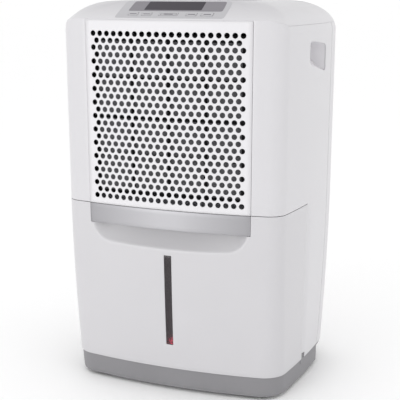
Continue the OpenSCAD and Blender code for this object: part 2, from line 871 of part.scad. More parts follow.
// Finned block with round tubes running through it and return bends at its ends
module coil(y0, y1, rows) {
  pitch = (coil_z[1] - coil_z[0]) / rows;
  box([-coil_w / 2, coil_w / 2], [y0, y1], coil_z);
  for (s = [-1, 1])
    box([s * (coil_w / 2 + 3) - 1, s * (coil_w / 2 + 3) + 1], [y0 - 1, y1 + 1], coil_z);
  for (i = [0:rows - 1])
    rod_x((y0 + y1) / 2, coil_z[0] + pitch * (i + 0.5), -coil_w / 2 - 8, coil_w / 2 + 8, 3.6);
  for (s = [-1, 1])
    for (i = [(s + 1) / 2:2:rows - 2])
      translate([s * (coil_w / 2 + 8), (y0 + y1) / 2, coil_z[0] + pitch * (i + 1)])
        rotate([90, 0, 0])
          intersection() {
            rotate_extrude($fn = 32)
              translate([pitch / 2, 0])
                circle(r = 3.6, $fn = 20);
            translate([s * 50, 0, 0])
              cube(100, center = true);
          }
}
module evaporator_coil() {
  color([0.75, 0.76, 0.78])
    coil(-118, -94, 10);
}
module condenser_coil() {
  color([0.72, 0.72, 0.74])
    coil(-86, -58, 10);
}

module compressor() {
  color([0.12, 0.12, 0.13]) {
    translate([comp_at.x, comp_at.y, 0]) {
      translate([0, 0, can_z[0]])
        cylinder(h = can_z[1] - can_z[0], r = comp_r);
      for (m = [0, 1])
        translate([0, 0, can_z[m]])
          intersection() {
            translate([0, 0, m == 0 ? end_bulge : -end_bulge])
              sphere(r = norm([end_bulge, comp_r]), $fn = 64);
            cylinder(h = 40, r = comp_r, center = true);
          }
      translate([0, 0, 22])
        cylinder(h = can_z[0] - 22, r = 30);
      difference() {
        translate([0, 0, 22])
          cylinder(h = 3, r = 48);
        for (i = [0:2])
          rotate([0, 0, 90 + 120 * i])
            translate([foot_r, 0, 10])
              cylinder(h = 20, r = 4.5);
      }
    }
    // suction accumulator with its strap
    translate([comp_at.x - 76, comp_at.y + 18, 70])
      cylinder(h = 130, r = 20);
    box([comp_at.x - 62, comp_at.x - 42], [comp_at.y + 8, comp_at.y + 16], [120, 128]);
  }
}
module compressor_mounts() {
  color([0.08, 0.08, 0.08])
    for (i = [0:2])
      translate([comp_at.x, comp_at.y, 0])
        rotate([0, 0, 90 + 120 * i])
          translate([foot_r, 0, 0])
            difference() {
              union() {
                translate([0, 0, base_z + 4.1])
                  cylinder(h = 11.8, r = 9);
                translate([0, 0, base_z + 4.1])
                  cylinder(h = 20, r = 4.4);
              }
              cylinder(h = 60, r = 2.3);
            }
}
module compressor_bolts() {
  color([0.7, 0.7, 0.72])
    for (i = [0:2])
      translate([comp_at.x, comp_at.y, 0])
        rotate([0, 0, 90 + 120 * i])
          translate([foot_r, 0, 0]) {
            translate([0, 0, base_z + 2])
              cylinder(h = 24, r = 2);
            translate([0, 0, base_z + 24.3])
              cylinder(h = 3, r = 5, $fn = 6);
          }
}
module refrigerant_pipes() {
  end_x = coil_w / 2 + 8.6;
  color([0.72, 0.45, 0.3]) {
    // discharge line to the condenser
    tube([[comp_at.x + 30, comp_at.y, 235], [comp_at.x + 30, comp_at.y, 270], [108, 41, 284],
          [108, 41, 515], [140, 16, 536.5], [140, -72, 536.5], [end_x, -72, 536.5]], 3.2, 9);
    // suction line from the evaporator to the accumulator
    tube([[comp_at.x - 76, comp_at.y + 18, 201], [comp_at.x - 76, comp_at.y + 18, 262], [96, 48, 272],
          [96, 48, 325], [152, 16, 345], [152, -106, 329.5], [end_x, -106, 329.5]], 4, 12);
    // capillary from the condenser to the evaporator
    tube([[end_x, -72, 329.5], [134, -72, 329.5], [134, -86, 350], [134, -92, 515], [134, -106, 536.5],
          [end_x, -106, 536.5]], 1.6, 7);
  }
}

// ---- Blower ----

wheel_y = [-42, 14];

module blower_wheel() {
  r = fan_d / 2;
  color([0.16, 0.16, 0.17])
    difference() {
      union() {
        rod_y(fan_x, fan_z, wheel_y[1] - 3, wheel_y[1], r);
        rod_y(fan_x, fan_z, wheel_y[1] - 20, wheel_y[1], 12);
        difference() {
          rod_y(fan_x, fan_z, wheel_y[0], wheel_y[0] + 3, r);
          rod_y(fan_x, fan_z, wheel_y[0] - 1, wheel_y[0] + 4, r - 14);
        }
        for (i = [0:fan_blades - 1])
          translate([fan_x, 0, fan_z])
            rotate([0, i * 360 / fan_blades, 0])
              translate([r - 7, (wheel_y[0] + wheel_y[1]) / 2, 0])
                rotate([0, 35, 0])
                  cube([13, wheel_y[1] - wheel_y[0] - 2, 1.4], center = true);
      }
      rod_y(fan_x, fan_z, wheel_y[0] - 5, wheel_y[1] + 5, 4 + fit);
    }
}
module blower_shaft() {
  color([0.75, 0.75, 0.77]) {
    rod_y(fan_x, fan_z, -14, 60, 4);
    rod_y(fan_x, fan_z, -13.5, wheel_y[1] - 20.4, 8);
  }
}
module fan_motor() {
  color([0.5, 0.5, 0.52])
    difference() {
      union() {
        rod_y(fan_x, fan_z, 28, 78, 42);
        rod_y(fan_x, fan_z, 24.4, 28.5, 20);
        for (a = [45:90:315])
          rod_y(fan_x + 34 * cos(a), fan_z + 34 * sin(a), 24.4, 28.5, 5);
      }
      rod_y(fan_x, fan_z, 20, 62, 4 + fit);
    }
}

// ---- Electrics ----

module run_capacitor() {
  color([0.85, 0.85, 0.82]) {
    translate([cap_at.x, cap_at.y, 60])
      cylinder(h = 80, r = 20);
    for (s = [-1, 1])
      box([cap_at.x + s * 7 - 3, cap_at.x + s * 7 + 3], [cap_at.y - 0.5, cap_at.y + 0.5], [139, 148]);
    difference() {
      box([-145, -95], [75, 125], [80, 92]);
      translate([cap_at.x, cap_at.y, 70])
        cylinder(h = 30, r = 19.5);
    }
  }
}
module bucket_switch() {
  color([0.15, 0.15, 0.17])
    difference() {
      union() {
        box([110, 130], [12.6, 17.9], [238, 272]);
        for (s = [-1, 1])
          box([120 + s * 8.5 - 1.5, 120 + s * 8.5 + 1.5], [8.8, 13], [259, 268]);
      }
      rod_x(lever_pivot[0], lever_pivot[1], 105, 135, 1.5 + fit);
    }
}
// Lever that the back of the tub pushes in, with its pin
module switch_lever() {
  color([0.7, 0.2, 0.18]) {
    rod_x(lever_pivot[0], lever_pivot[1], 110.5, 129.5, 1.5);
    box([115, 125], [8.7, 9.9], [240, lever_pivot[1]]);
    box([115, 125], [8.7, lever_pivot[0]], [lever_pivot[1] - 2, lever_pivot[1]]);
  }
}
module humidity_sensor() {
  color([0.9, 0.9, 0.9])
    box([128, 136], [-126, -121.5], [480, 500]);
}
module cord_gland() {
  y = back_y - draw(gland_at.y);
  color([0.2, 0.2, 0.21])
    difference() {
      union() {
        rod_y(gland_at.x, gland_at.y, y - 16, y - 0.2, 7.8);
        rod_y(gland_at.x, gland_at.y, y - 7, y - wall - 1.5, 11);
      }
      rod_y(gland_at.x, gland_at.y, y - 20, y + 5, 4);
    }
}
module casing_screws() {
  color([0.6, 0.6, 0.62])
    for (p = screw_at) {
      y = back_y - draw(p.y);
      rod_y(p.x, p.y, y - 18, y - 2.9, 2);
      rod_y(p.x, p.y, y - 2.9, y - 0.6, 4.2);
    }
}

// ---- Casters, recessed in the base ----

module caster_bushes() {
  color([0.75, 0.75, 0.77])
    for (c = casters)
      translate([c[0] * caster_x, c[1], 0])
        difference() {
          union() {
            translate([0, 0, cup_roof])
              cylinder(h = 10, r = 5.5);
            translate([0, 0, cup_roof - 1.5])
              cylinder(h = 1.5, r = 9);
          }
          translate([0, 0, cup_roof - 5])
            cylinder(h = 20, r = stem_r + fit);
        }
}
// Fork with its swivel stem and its axle
module caster_fork(i) {
  r = wheel_d / 2;
  color([0.3, 0.3, 0.32])
    translate([casters[i][0] * caster_x, casters[i][1], 0]) {
      translate([0, 0, 28])
        cylinder(h = 14.5, r = stem_r);
      translate([0, 0, 26])
        cylinder(h = 3, r = 9.6);
      for (s = [-1, 1])
        box([s * 8.6 - 1.2, s * 8.6 + 1.2], [-4, trail + 5], [r - 4, 29]);
      rod_x(trail, r, -9, 9, 2);
    }
}
module caster_wheel(i) {
  r = wheel_d / 2;
  color([0.12, 0.12, 0.12])
    translate([casters[i][0] * caster_x, casters[i][1] + trail, r])
      rotate([0, 90, 0])
        difference() {
          rotate_extrude($fn = 64)
            polygon([[1, -wheel_w / 2], [r - 1.5, -wheel_w / 2], [r, -wheel_w / 2 + 1.5],
                     [r, wheel_w / 2 - 1.5], [r - 1.5, wheel_w / 2], [1, wheel_w / 2]]);
          cylinder(h = 40, r = 2 + fit, center = true);
        }
}
module caster_fork_1() { caster_fork(0); }
module caster_fork_2() { caster_fork(1); }
module caster_fork_3() { caster_fork(2); }
module caster_fork_4() { caster_fork(3); }
module caster_wheel_1() { caster_wheel(0); }
module caster_wheel_2() { caster_wheel(1); }
module caster_wheel_3() { caster_wheel(2); }
module caster_wheel_4() { caster_wheel(3); }

base_tray();
cabinet();
rear_housing();
top_cover();
intake_grille();
filter_frame();
filter_mesh();
handle_cup_left();
handle_cup_right();
bucket_fascia();
bucket_trim();
window_lens();
bucket_tub();
bucket_lid();
bucket_handle();
handle_pins();
level_float();
shutoff_float();
float_pin();
control_overlay();
display_bezel();
display_window();
key_power();
key_mode();
key_box();
key_fan();
key_timer();
control_board();
exhaust_louvre();
exhaust_duct();
deck();
drain_trough();
drain_spout();
drain_hose();
evaporator_coil();
condenser_coil();
refrigerant_pipes();
compressor();
compressor_mounts();
compressor_bolts();
fan_scroll();
blower_wheel();
blower_shaft();
fan_motor();
run_capacitor();
bucket_switch();
switch_lever();
humidity_sensor();
cord_gland();
casing_screws();
caster_bushes();
caster_fork_1();
caster_fork_2();
caster_fork_3();
caster_fork_4();
caster_wheel_1();
caster_wheel_2();
caster_wheel_3();
caster_wheel_4();
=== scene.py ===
"""Looks of a household dehumidifier: bowed shells, grille, bucket, controls and machinery.

Sizes are in millimetres until a mesh is made. The frame has its origin at the middle of
the footprint on the floor, the front facing -Y and +Z up.
"""
import json
import logging
import math
from dataclasses import dataclass, field
from enum import Enum
from typing import Callable

import bpy
import numpy as np
from mathutils import Matrix, Vector


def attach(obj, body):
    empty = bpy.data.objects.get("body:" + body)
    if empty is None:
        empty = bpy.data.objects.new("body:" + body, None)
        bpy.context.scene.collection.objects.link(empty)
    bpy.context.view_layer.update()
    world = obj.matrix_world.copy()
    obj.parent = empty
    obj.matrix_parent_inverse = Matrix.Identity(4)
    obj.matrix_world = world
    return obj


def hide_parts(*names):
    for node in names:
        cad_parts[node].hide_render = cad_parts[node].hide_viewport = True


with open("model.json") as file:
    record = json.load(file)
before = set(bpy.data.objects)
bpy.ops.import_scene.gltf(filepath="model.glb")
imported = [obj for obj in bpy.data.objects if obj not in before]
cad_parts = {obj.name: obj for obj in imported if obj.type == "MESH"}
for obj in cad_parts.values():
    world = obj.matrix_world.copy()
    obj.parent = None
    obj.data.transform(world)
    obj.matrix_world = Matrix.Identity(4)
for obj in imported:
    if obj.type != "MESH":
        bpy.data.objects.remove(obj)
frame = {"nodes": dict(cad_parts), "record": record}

Array = np.ndarray
MM = 0.001
LOG = logging.getLogger("dehumidifier")


# ---- Finishes ----


class Pattern(Enum):
    """Kinds of surface texture."""

    MOULDED = "moulded"
    BRUSHED = "brushed"
    STIPPLED = "stippled"
    WOVEN = "woven"
    CAST = "cast"


@dataclass(frozen=True)
class Finish:
    """One finish: its colour, how far the colour drifts, its gloss and its fine texture. A darker
    painted shade colour may take over across painted_shade_range, of heights or, with to_sides,
    of distances to either side, and a painted glow may light it though it is no lamp.

    Lengths are in metres, since materials read object coordinates.
    """

    name: str
    colour: tuple[float, float, float]
    roughness: float = 0.4
    metallic: float = 0.0
    pattern: Pattern = Pattern.MOULDED
    drift: float = 0.025
    patch: float = 0.08
    grain: float = 0.0009
    depth: float = 0.00002
    polish: float = 0.05
    coat: float = 0.0
    alpha: float = 1.0
    # painted glow: emission strength that lights a part though it is no lamp
    painted_glow: float = 0.0
    specular: float = 0.5
    # painted shade: a darker colour that takes over across painted_shade_range, standing in for shade
    painted_shade: tuple[float, float, float] | None = None
    painted_shade_range: tuple[float, float] = (0.578, 0.600)
    to_sides: bool = False

    def material(self) -> bpy.types.Material:
        """The Blender material of this finish, made once.

        Returns:
            The material.
        """
        made = bpy.data.materials.get(self.name)
        return made if made else self._build()

    def _build(self) -> bpy.types.Material:
        """Makes the node tree: drifting colour, drifting roughness and a fine bump.

        Returns:
            The material.
        """
        mat = bpy.data.materials.new(self.name)
        mat.use_nodes = True
        tree = mat.node_tree
        shader = tree.nodes["Principled BSDF"]
        shader.inputs["Metallic"].default_value = self.metallic
        shader.inputs["Coat Weight"].default_value = self.coat
        shader.inputs["Alpha"].default_value = self.alpha
        shader.inputs["Specular IOR Level"].default_value = self.specular
        place = tree.nodes.new("ShaderNodeTexCoord").outputs["Object"]
        if self.pattern is Pattern.BRUSHED:
            lay = tree.nodes.new("ShaderNodeMapping")
            lay.inputs["Scale"].default_value = (0.03, 1.0, 1.0)
            tree.links.new(place, lay.inputs["Vector"])
            fine_place = lay.outputs["Vector"]
        else:
            fine_place = place
        clouds = self._noise(tree, place, 1.0 / self.patch, 3.0)
        fine = self._fine(tree, fine_place)
        tint = tree.nodes.new("ShaderNodeMix")
        tint.data_type = "RGBA"
        base = np.array(self.colour)
        for socket, gain in ((6, 1.0 - self.drift), (7, 1.0 + self.drift)):
            tint.inputs[socket].default_value = (*np.clip(base * gain, 0, 1), 1.0)
        blend = tree.nodes.new("ShaderNodeMath")
        blend.operation = "MULTIPLY_ADD"
        blend.inputs[1].default_value = 0.35 if self.pattern is Pattern.MOULDED else 0.6
        tree.links.new(fine, blend.inputs[0])
        tree.links.new(self._ranged(tree, clouds, 0.3, 0.7, 0.0, 0.65), blend.inputs[2])
        tree.links.new(blend.outputs[0], tint.inputs[0])
        shade = tint.outputs[2]
        # Painted shade: a darker colour mixed in by height or by distance to the sides.
        if self.painted_shade:
            split = tree.nodes.new("ShaderNodeSeparateXYZ")
            tree.links.new(place, split.inputs[0])
            change = tree.nodes.new("ShaderNodeMix")
            change.data_type = "RGBA"
            reach = split.outputs[2]
            if self.to_sides:
                size = tree.nodes.new("ShaderNodeMath")
                size.operation = "ABSOLUTE"
                tree.links.new(split.outputs[0], size.inputs[0])
                reach = size.outputs[0]
            tree.links.new(self._ranged(tree, reach, *self.painted_shade_range, 0.0, 1.0), change.inputs[0])
            tree.links.new(shade, change.inputs[6])
            change.inputs[7].default_value = (*self.painted_shade, 1.0)
            shade = change.outputs[2]
        tree.links.new(shade, shader.inputs["Base Color"])
        # Painted glow: the part gives off light though it is no lamp.
        if self.painted_glow:
            tree.links.new(tint.outputs[2], shader.inputs["Emission Color"])
            shader.inputs["Emission Strength"].default_value = self.painted_glow
        low, high = max(self.roughness - self.polish, 0.02), self.roughness + self.polish
        rough = self._ranged(tree, clouds, 0.3, 0.7, low, high)
        tree.links.new(rough, shader.inputs["Roughness"])
        bump = tree.nodes.new("ShaderNodeBump")
        bump.inputs["Distance"].default_value = self.depth
        bump.inputs["Strength"].default_value = 0.6
        tree.links.new(fine, bump.inputs["Height"])
        tree.links.new(bump.outputs["Normal"], shader.inputs["Normal"])
        return mat

    def _fine(self, tree: bpy.types.NodeTree, place: bpy.types.NodeSocket) -> bpy.types.NodeSocket:
        """Height of the fine texture.

        Args:
            tree: node tree to add to.
            place: coordinates to read.

        Returns:
            Socket with a height of about 0 to 1.
        """
        if self.pattern is Pattern.STIPPLED:
            spots = tree.nodes.new("ShaderNodeTexVoronoi")
            spots.inputs["Scale"].default_value = 1.0 / self.grain
            tree.links.new(place, spots.inputs["Vector"])
            return spots.outputs["Distance"]
        if self.pattern is Pattern.WOVEN:
            waves = []
            for axis in ("X", "Z"):
                wave = tree.nodes.new("ShaderNodeTexWave")
                wave.bands_direction = axis
                wave.inputs["Scale"].default_value = 0.314 / self.grain
                tree.links.new(place, wave.inputs["Vector"])
                waves.append(wave.outputs["Fac"])
            both = tree.nodes.new("ShaderNodeMath")
            both.operation = "MAXIMUM"
            tree.links.new(waves[0], both.inputs[0])
            tree.links.new(waves[1], both.inputs[1])
            return both.outputs[0]
        return self._noise(tree, place, 1.0 / self.grain, 4.0 if self.pattern is Pattern.CAST else 2.0)

    @staticmethod
    def _noise(tree: bpy.types.NodeTree, place: bpy.types.NodeSocket, scale: float,
               detail: float) -> bpy.types.NodeSocket:
        """Noise of one scale.

        Args:
            tree: node tree to add to.
            place: coordinates to read.
            scale: cells per metre.
            detail: octaves.

        Returns:
            Socket with the noise value.
        """
        node = tree.nodes.new("ShaderNodeTexNoise")
        node.inputs["Scale"].default_value = scale
        node.inputs["Detail"].default_value = detail
        tree.links.new(place, node.inputs["Vector"])
        return node.outputs["Fac"]

    @staticmethod
    def _ranged(tree: bpy.types.NodeTree, value: bpy.types.NodeSocket, a: float, b: float,
                low: float, high: float) -> bpy.types.NodeSocket:
        """Value from a to b carried to low to high.

        Args:
            tree: node tree to add to.
            value: socket to read.
            a: start of the range read.
            b: end of the range read.
            low: result at a.
            high: result at b.

        Returns:
            Socket with the result.
        """
        node = tree.nodes.new("ShaderNodeMapRange")
        node.inputs["From Min"].default_value = a
        node.inputs["From Max"].default_value = b
        node.inputs["To Min"].default_value = low
        node.inputs["To Max"].default_value = high
        tree.links.new(value, node.inputs["Value"])
        return node.outputs["Result"]


WHITE_SHELL = Finish("white_shell_plastic", (0.611, 0.603, 0.622), 0.34, coat=0.15, drift=0.008)
# The top cover turns to a darker colour above 578 mm: painted shade on the slope and flat top, where less
# light falls than on the front.
COVER_SHELL = Finish("top_cover_plastic", (0.611, 0.603, 0.622), 0.36, coat=0.15, drift=0.008,
                     painted_shade=(0.506, 0.498, 0.517))
FRONT_SHELL = Finish("bucket_front_plastic", (0.569, 0.561, 0.579), 0.36, coat=0.15, drift=0.008)
PANEL_WHITE = Finish("grille_plastic", (0.704, 0.695, 0.715), 0.42, drift=0.008)
CUP_PLASTIC = Finish("hand_recess_plastic", (0.78, 0.77, 0.79), 0.45, drift=0.012)
BASE_GREY = Finish("base_tray_plastic", (0.23, 0.226, 0.237), 0.5, pattern=Pattern.STIPPLED,
                   grain=0.0012, depth=0.00004, drift=0.04)
# The strip darkens from its middle towards both ends: painted shade where the bowed strip turns from the
# light, leaving a painted sheen in the middle.
SILVER_STRIP = Finish("silver_strip_paint", (0.47, 0.465, 0.485), 0.42, 0.3, Pattern.BRUSHED, 0.05,
                      grain=0.0006, depth=0.00001, painted_shade=(0.33, 0.325, 0.342),
                      painted_shade_range=(0.015, 0.13), to_sides=True)
SMOKED_LENS = Finish("smoked_window", (0.045, 0.036, 0.04), 0.12, alpha=0.62, drift=0.03,
                     grain=0.004, depth=0.000004)
TUB_PLASTIC = Finish("tub_translucent_plastic", (0.50, 0.53, 0.56), 0.3, alpha=0.6, drift=0.03)
LID_PLASTIC = Finish("lid_plastic", (0.76, 0.76, 0.77), 0.4, drift=0.015)
PANEL_FILM = Finish("control_overlay_film", (0.45, 0.445, 0.465), 0.46, drift=0.015)
PANEL_GREY = Finish("display_surround_film", (0.215, 0.205, 0.225), 0.5, drift=0.03, specular=0.3)
DISPLAY_DARK = Finish("display_glass", (0.036, 0.031, 0.041), 0.3, specular=0.15, drift=0.08,
                      grain=0.003, depth=0.000003)
MARK_INK = Finish("key_mark_ink", (0.07, 0.065, 0.08), 0.5, drift=0.05)
DARK_PLASTIC = Finish("dark_plastic", (0.045, 0.046, 0.05), 0.5, drift=0.08, pattern=Pattern.STIPPLED,
                      grain=0.0014, depth=0.00004)
DUCT_PLASTIC = Finish("air_duct_plastic", (0.10, 0.105, 0.115), 0.55, drift=0.08)
FILTER_FRAME = Finish("filter_frame_plastic", (0.009, 0.009, 0.01), 0.7, drift=0.1, specular=0.1,
                      pattern=Pattern.STIPPLED, grain=0.0014, depth=0.00004)
# Partly the net's own near-black colour and partly painted shade: it is darkened further to stand for the
# shade behind the grille holes.
FILTER_NET = Finish("filter_net", (0.007, 0.007, 0.008), 0.8, pattern=Pattern.WOVEN, grain=0.0013,
                    depth=0.0004, drift=0.5, specular=0.08)
# The float glows with emission strength 9: painted light, standing in for the light that reaches it through
# the smoked window.
RED_FLOAT = Finish("red_float_plastic", (0.80, 0.06, 0.12), 0.4, drift=0.05, painted_glow=9.0)
LEVER_RED = Finish("switch_lever_plastic", (0.55, 0.06, 0.05), 0.4, drift=0.05)
FOAM_FLOAT = Finish("float_foam", (0.82, 0.81, 0.76), 0.85, pattern=Pattern.STIPPLED, grain=0.0016,
                    depth=0.00015, drift=0.05)
STEEL = Finish("turned_steel", (0.55, 0.55, 0.56), 0.28, 1.0, drift=0.05, grain=0.0005)
SHEET_STEEL = Finish("galvanised_sheet", (0.52, 0.54, 0.56), 0.42, 0.9, Pattern.CAST, 0.16,
                     patch=0.03, grain=0.006, depth=0.00001, polish=0.12)
FIN_METAL = Finish("fin_aluminium", (0.66, 0.67, 0.69), 0.38, 0.9, drift=0.06, grain=0.002)
COPPER = Finish("copper_tube", (0.72, 0.36, 0.22), 0.3, 1.0, drift=0.10, patch=0.03, polish=0.1)
BLACK_PAINT = Finish("black_enamel", (0.016, 0.016, 0.018), 0.28, coat=0.3, drift=0.2,
                     pattern=Pattern.CAST, grain=0.004, depth=0.00004)
RUBBER = Finish("rubber", (0.022, 0.022, 0.022), 0.75, drift=0.2, grain=0.0012, depth=0.00006)
CIRCUIT = Finish("circuit_board", (0.02, 0.12, 0.045), 0.45, drift=0.2, patch=0.01)
HOSE = Finish("hose_vinyl", (0.55, 0.56, 0.54), 0.4, drift=0.06)
CAN_ALUMINIUM = Finish("capacitor_can", (0.62, 0.62, 0.60), 0.35, 0.8, drift=0.05)
PALE_FLOOR = Finish("pale_floor", (0.97, 0.97, 0.97), 0.7, drift=0.004, patch=0.6, grain=0.01)


# ---- Sheets of quads ----


@dataclass
class Skin:
    """Sheet of quads: points (n, k) and faces (m, 4), a repeated corner making a triangle."""

    points: Array
    faces: Array

    @staticmethod
    def grid(points: Array, keep: Array | None = None) -> "Skin":
        """Quads over a grid, facing the side where the first index runs right and the second up.

        Args:
            points: grid (n, m, k).
            keep: which of the (n-1, m-1) cells to keep, or None for all.

        Returns:
            The sheet.
        """
        n, m = points.shape[:2]
        at = np.arange(n * m).reshape(n, m)
        quads = np.stack([at[:-1, :-1], at[1:, :-1], at[1:, 1:], at[:-1, 1:]], -1)
        quads = quads.reshape(-1, 4) if keep is None else quads[keep]
        return Skin(points.reshape(n * m, -1).astype(float), quads)

    def __add__(self, other: "Skin") -> "Skin":
        """Both sheets as one."""
        return Skin(np.vstack([self.points, other.points]),
                    np.vstack([self.faces, other.faces + len(self.points)]))

    def flipped(self) -> "Skin":
        """The sheet facing the other way."""
        return Skin(self.points, self.faces[:, ::-1])

    def mirrored(self) -> "Skin":
        """The sheet mirrored from right to left, still facing outwards."""
        return Skin(self.points * [-1, 1, 1], self.faces[:, ::-1])

    def through(self, form: Callable[[Array], Array]) -> "Skin":
        """The sheet with its points carried through a function of the point array."""
        return Skin(form(self.points), self.faces)

    def object(self, name: str, finish: Finish, body: str, stands_for: tuple[str, ...] = (),
               slot: str = "", wall: float = 0.0, edge: float = 0.0, crease: float = 40.0,
               steps: int = 2) -> bpy.types.Object:
        """Makes the mesh, in metres, with coincident points merged.

        Args:
            name: piece name.
            finish: its finish.
            body: the body it rides on.
            stands_for: CAD nodes it stands for.
            slot: material slot of the record; not used.
            wall: wall thickness in mm laid inwards, or 0 for a closed sheet.
            edge: rounding of its sharp edges in mm.
            crease: angle in degrees past which an edge is sharp.
            steps: segments of the rounding.

        Returns:
            The object.
        """
        key = np.round(self.points, 3)
        points, at = np.unique(key, axis=0, return_inverse=True)
        faces = at.reshape(-1)[self.faces]
        same = faces == np.roll(faces, -1, axis=1)
        count = same.sum(1)
        quads, short = faces[count == 0], faces[count == 1]
        tris = short[~same[count == 1]].reshape(-1, 3)
        mesh = bpy.data.meshes.new(name)
        mesh.from_pydata((points * MM).tolist(), [], quads.tolist() + tris.tolist())
        return dress(name, mesh, finish, body, stands_for, wall, edge, crease, steps)


def dress(name: str, mesh: bpy.types.Mesh, finish: Finish, body: str, stands_for: tuple[str, ...] = (),
          wall: float = 0.0, edge: float = 0.0, crease: float = 40.0,
          steps: int = 2) -> bpy.types.Object:
    """Turns a mesh into a smooth-shaded piece that rides on its body.

    Args:
        name: piece name.
        mesh: its mesh in metres.
        finish: its finish.
        body: the body it rides on.
        stands_for: CAD nodes it stands for.
        wall: wall thickness in mm laid inwards.
        edge: rounding of its sharp edges in mm.
        crease: angle in degrees past which an edge is sharp.
        steps: segments of the rounding.

    Returns:
        The object.
    """
    mesh.shade_smooth()
    mesh.set_sharp_from_angle(angle=math.radians(crease))
    mesh.materials.clear()
    mesh.materials.append(finish.material())
    piece = bpy.data.objects.new(name, mesh)
    bpy.context.scene.collection.objects.link(piece)
    if wall:
        shell = piece.modifiers.new("wall", "SOLIDIFY")
        shell.thickness = wall * MM
        shell.offset = -1.0
        shell.use_even_offset = False
    if edge:
        rounding = piece.modifiers.new("rounding", "BEVEL")
        rounding.width = edge * MM
        rounding.segments = steps
        rounding.limit_method = "ANGLE"
        rounding.angle_limit = math.radians(crease)
        rounding.harden_normals = False
    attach(piece, body)
    if stands_for:
        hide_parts(*stands_for)
    LOG.info("%s: %d points, rides on %s", name, len(mesh.vertices), body)
    return piece


def circle_loop(ni: int, nj: int, radius: float) -> Array:
    """Offsets on a circle from its lower left, anticlockwise, a quarter to each side of a block.

    Args:
        ni: steps on the lower and upper sides.
        nj: steps on the right and left sides.
        radius: circle radius.

    Returns:
        Offsets (2 * (ni + nj), 2): radius times the cosine and sine of the angle.
    """
    turns = [np.linspace(-135 + 90 * k, -45 + 90 * k, n, endpoint=False)
             for k, n in enumerate((ni, nj, ni, nj))]
    angle = np.radians(np.concatenate(turns))
    return radius * np.stack([np.cos(angle), np.sin(angle)], -1)


def rounded_loop(ni: int, nj: int, half_w: float, half_h: float, radius: float) -> Array:
    """Offsets on a rounded rectangle from its lower left, anticlockwise.

    Each side runs from the middle of one corner arc to the middle of the next: two steps
    on each half arc and the rest even on the straight part.

    Args:
        ni: steps on the lower and upper sides, at least 5.
        nj: steps on the right and left sides, at least 5.
        half_w: half width.
        half_h: half height.
        radius: corner radius.

    Returns:
        Offsets (2 * (ni + nj), 2).
    """
    sides = []
    spans = ((ni, half_w, half_h), (nj, half_h, half_w), (ni, half_w, half_h), (nj, half_h, half_w))
    bend = np.radians([-45.0, -22.5])
    for k, (n, along, out) in enumerate(spans):
        straight, centre = along - radius, -(out - radius)
        start = np.stack([-straight + radius * np.sin(bend), centre - radius * np.cos(bend)], -1)
        p = np.linspace(-straight, straight, n - 3)
        flat = np.stack([p, np.full_like(p, -out)], -1)
        end = np.stack([straight - radius * np.sin(bend[1:]), centre - radius * np.cos(bend[1:])], -1)
        side = np.concatenate([start, flat, end])
        turn = math.radians(90 * k)
        spin = np.array([[math.cos(turn), math.sin(turn)], [-math.sin(turn), math.cos(turn)]])
        sides.append(side @ spin)
    return np.concatenate(sides)


def ring_rows(rows: list[Array]) -> Skin:
    """Sheet between closed loops of equal length, each row inside the one before.

    Args:
        rows: loops (n, k), anticlockwise.

    Returns:
        The sheet, its last column welded to its first when merged.
    """
    stack = np.stack(rows, 1)
    return Skin.grid(np.concatenate([stack, stack[:1]], 0))


def block_loop(grid: Array, i0: int, i1: int, j0: int, j1: int) -> Array:
    """Points round a block of grid cells, anticlockwise from its lower left.

    Args:
        grid: grid (n, m, k).
        i0: first column.
        i1: last column.
        j0: first row.
        j1: last row.

    Returns:
        The loop (2 * (i1 - i0 + j1 - j0), k).
    """
    return np.concatenate([grid[i0:i1, j0], grid[i1, j0:j1], grid[i1:i0:-1, j1], grid[i0, j1:j0:-1]])


def lines(*stops: float, step: float) -> Array:
    """Even lines between stops, with a line on every stop.

    Args:
        stops: rising values.
        step: greatest distance between lines.

    Returns:
        The lines.
    """
    parts = [np.linspace(a, b, max(1, math.ceil((b - a) / step)), endpoint=False)
             for a, b in zip(stops, stops[1:])]
    return np.concatenate(parts + [[stops[-1]]])


def index_of(values: Array, value: float) -> int:
    """Place of the line nearest a value."""
    return int(np.argmin(np.abs(values - value)))


def fade(x: Array) -> Array:
    """Smooth step: three x squared less two x cubed, held to 0 and 1."""
    t = np.clip(x, 0, 1)
    return t * t * (3 - 2 * t)


# ---- The form that the outer shells share ----


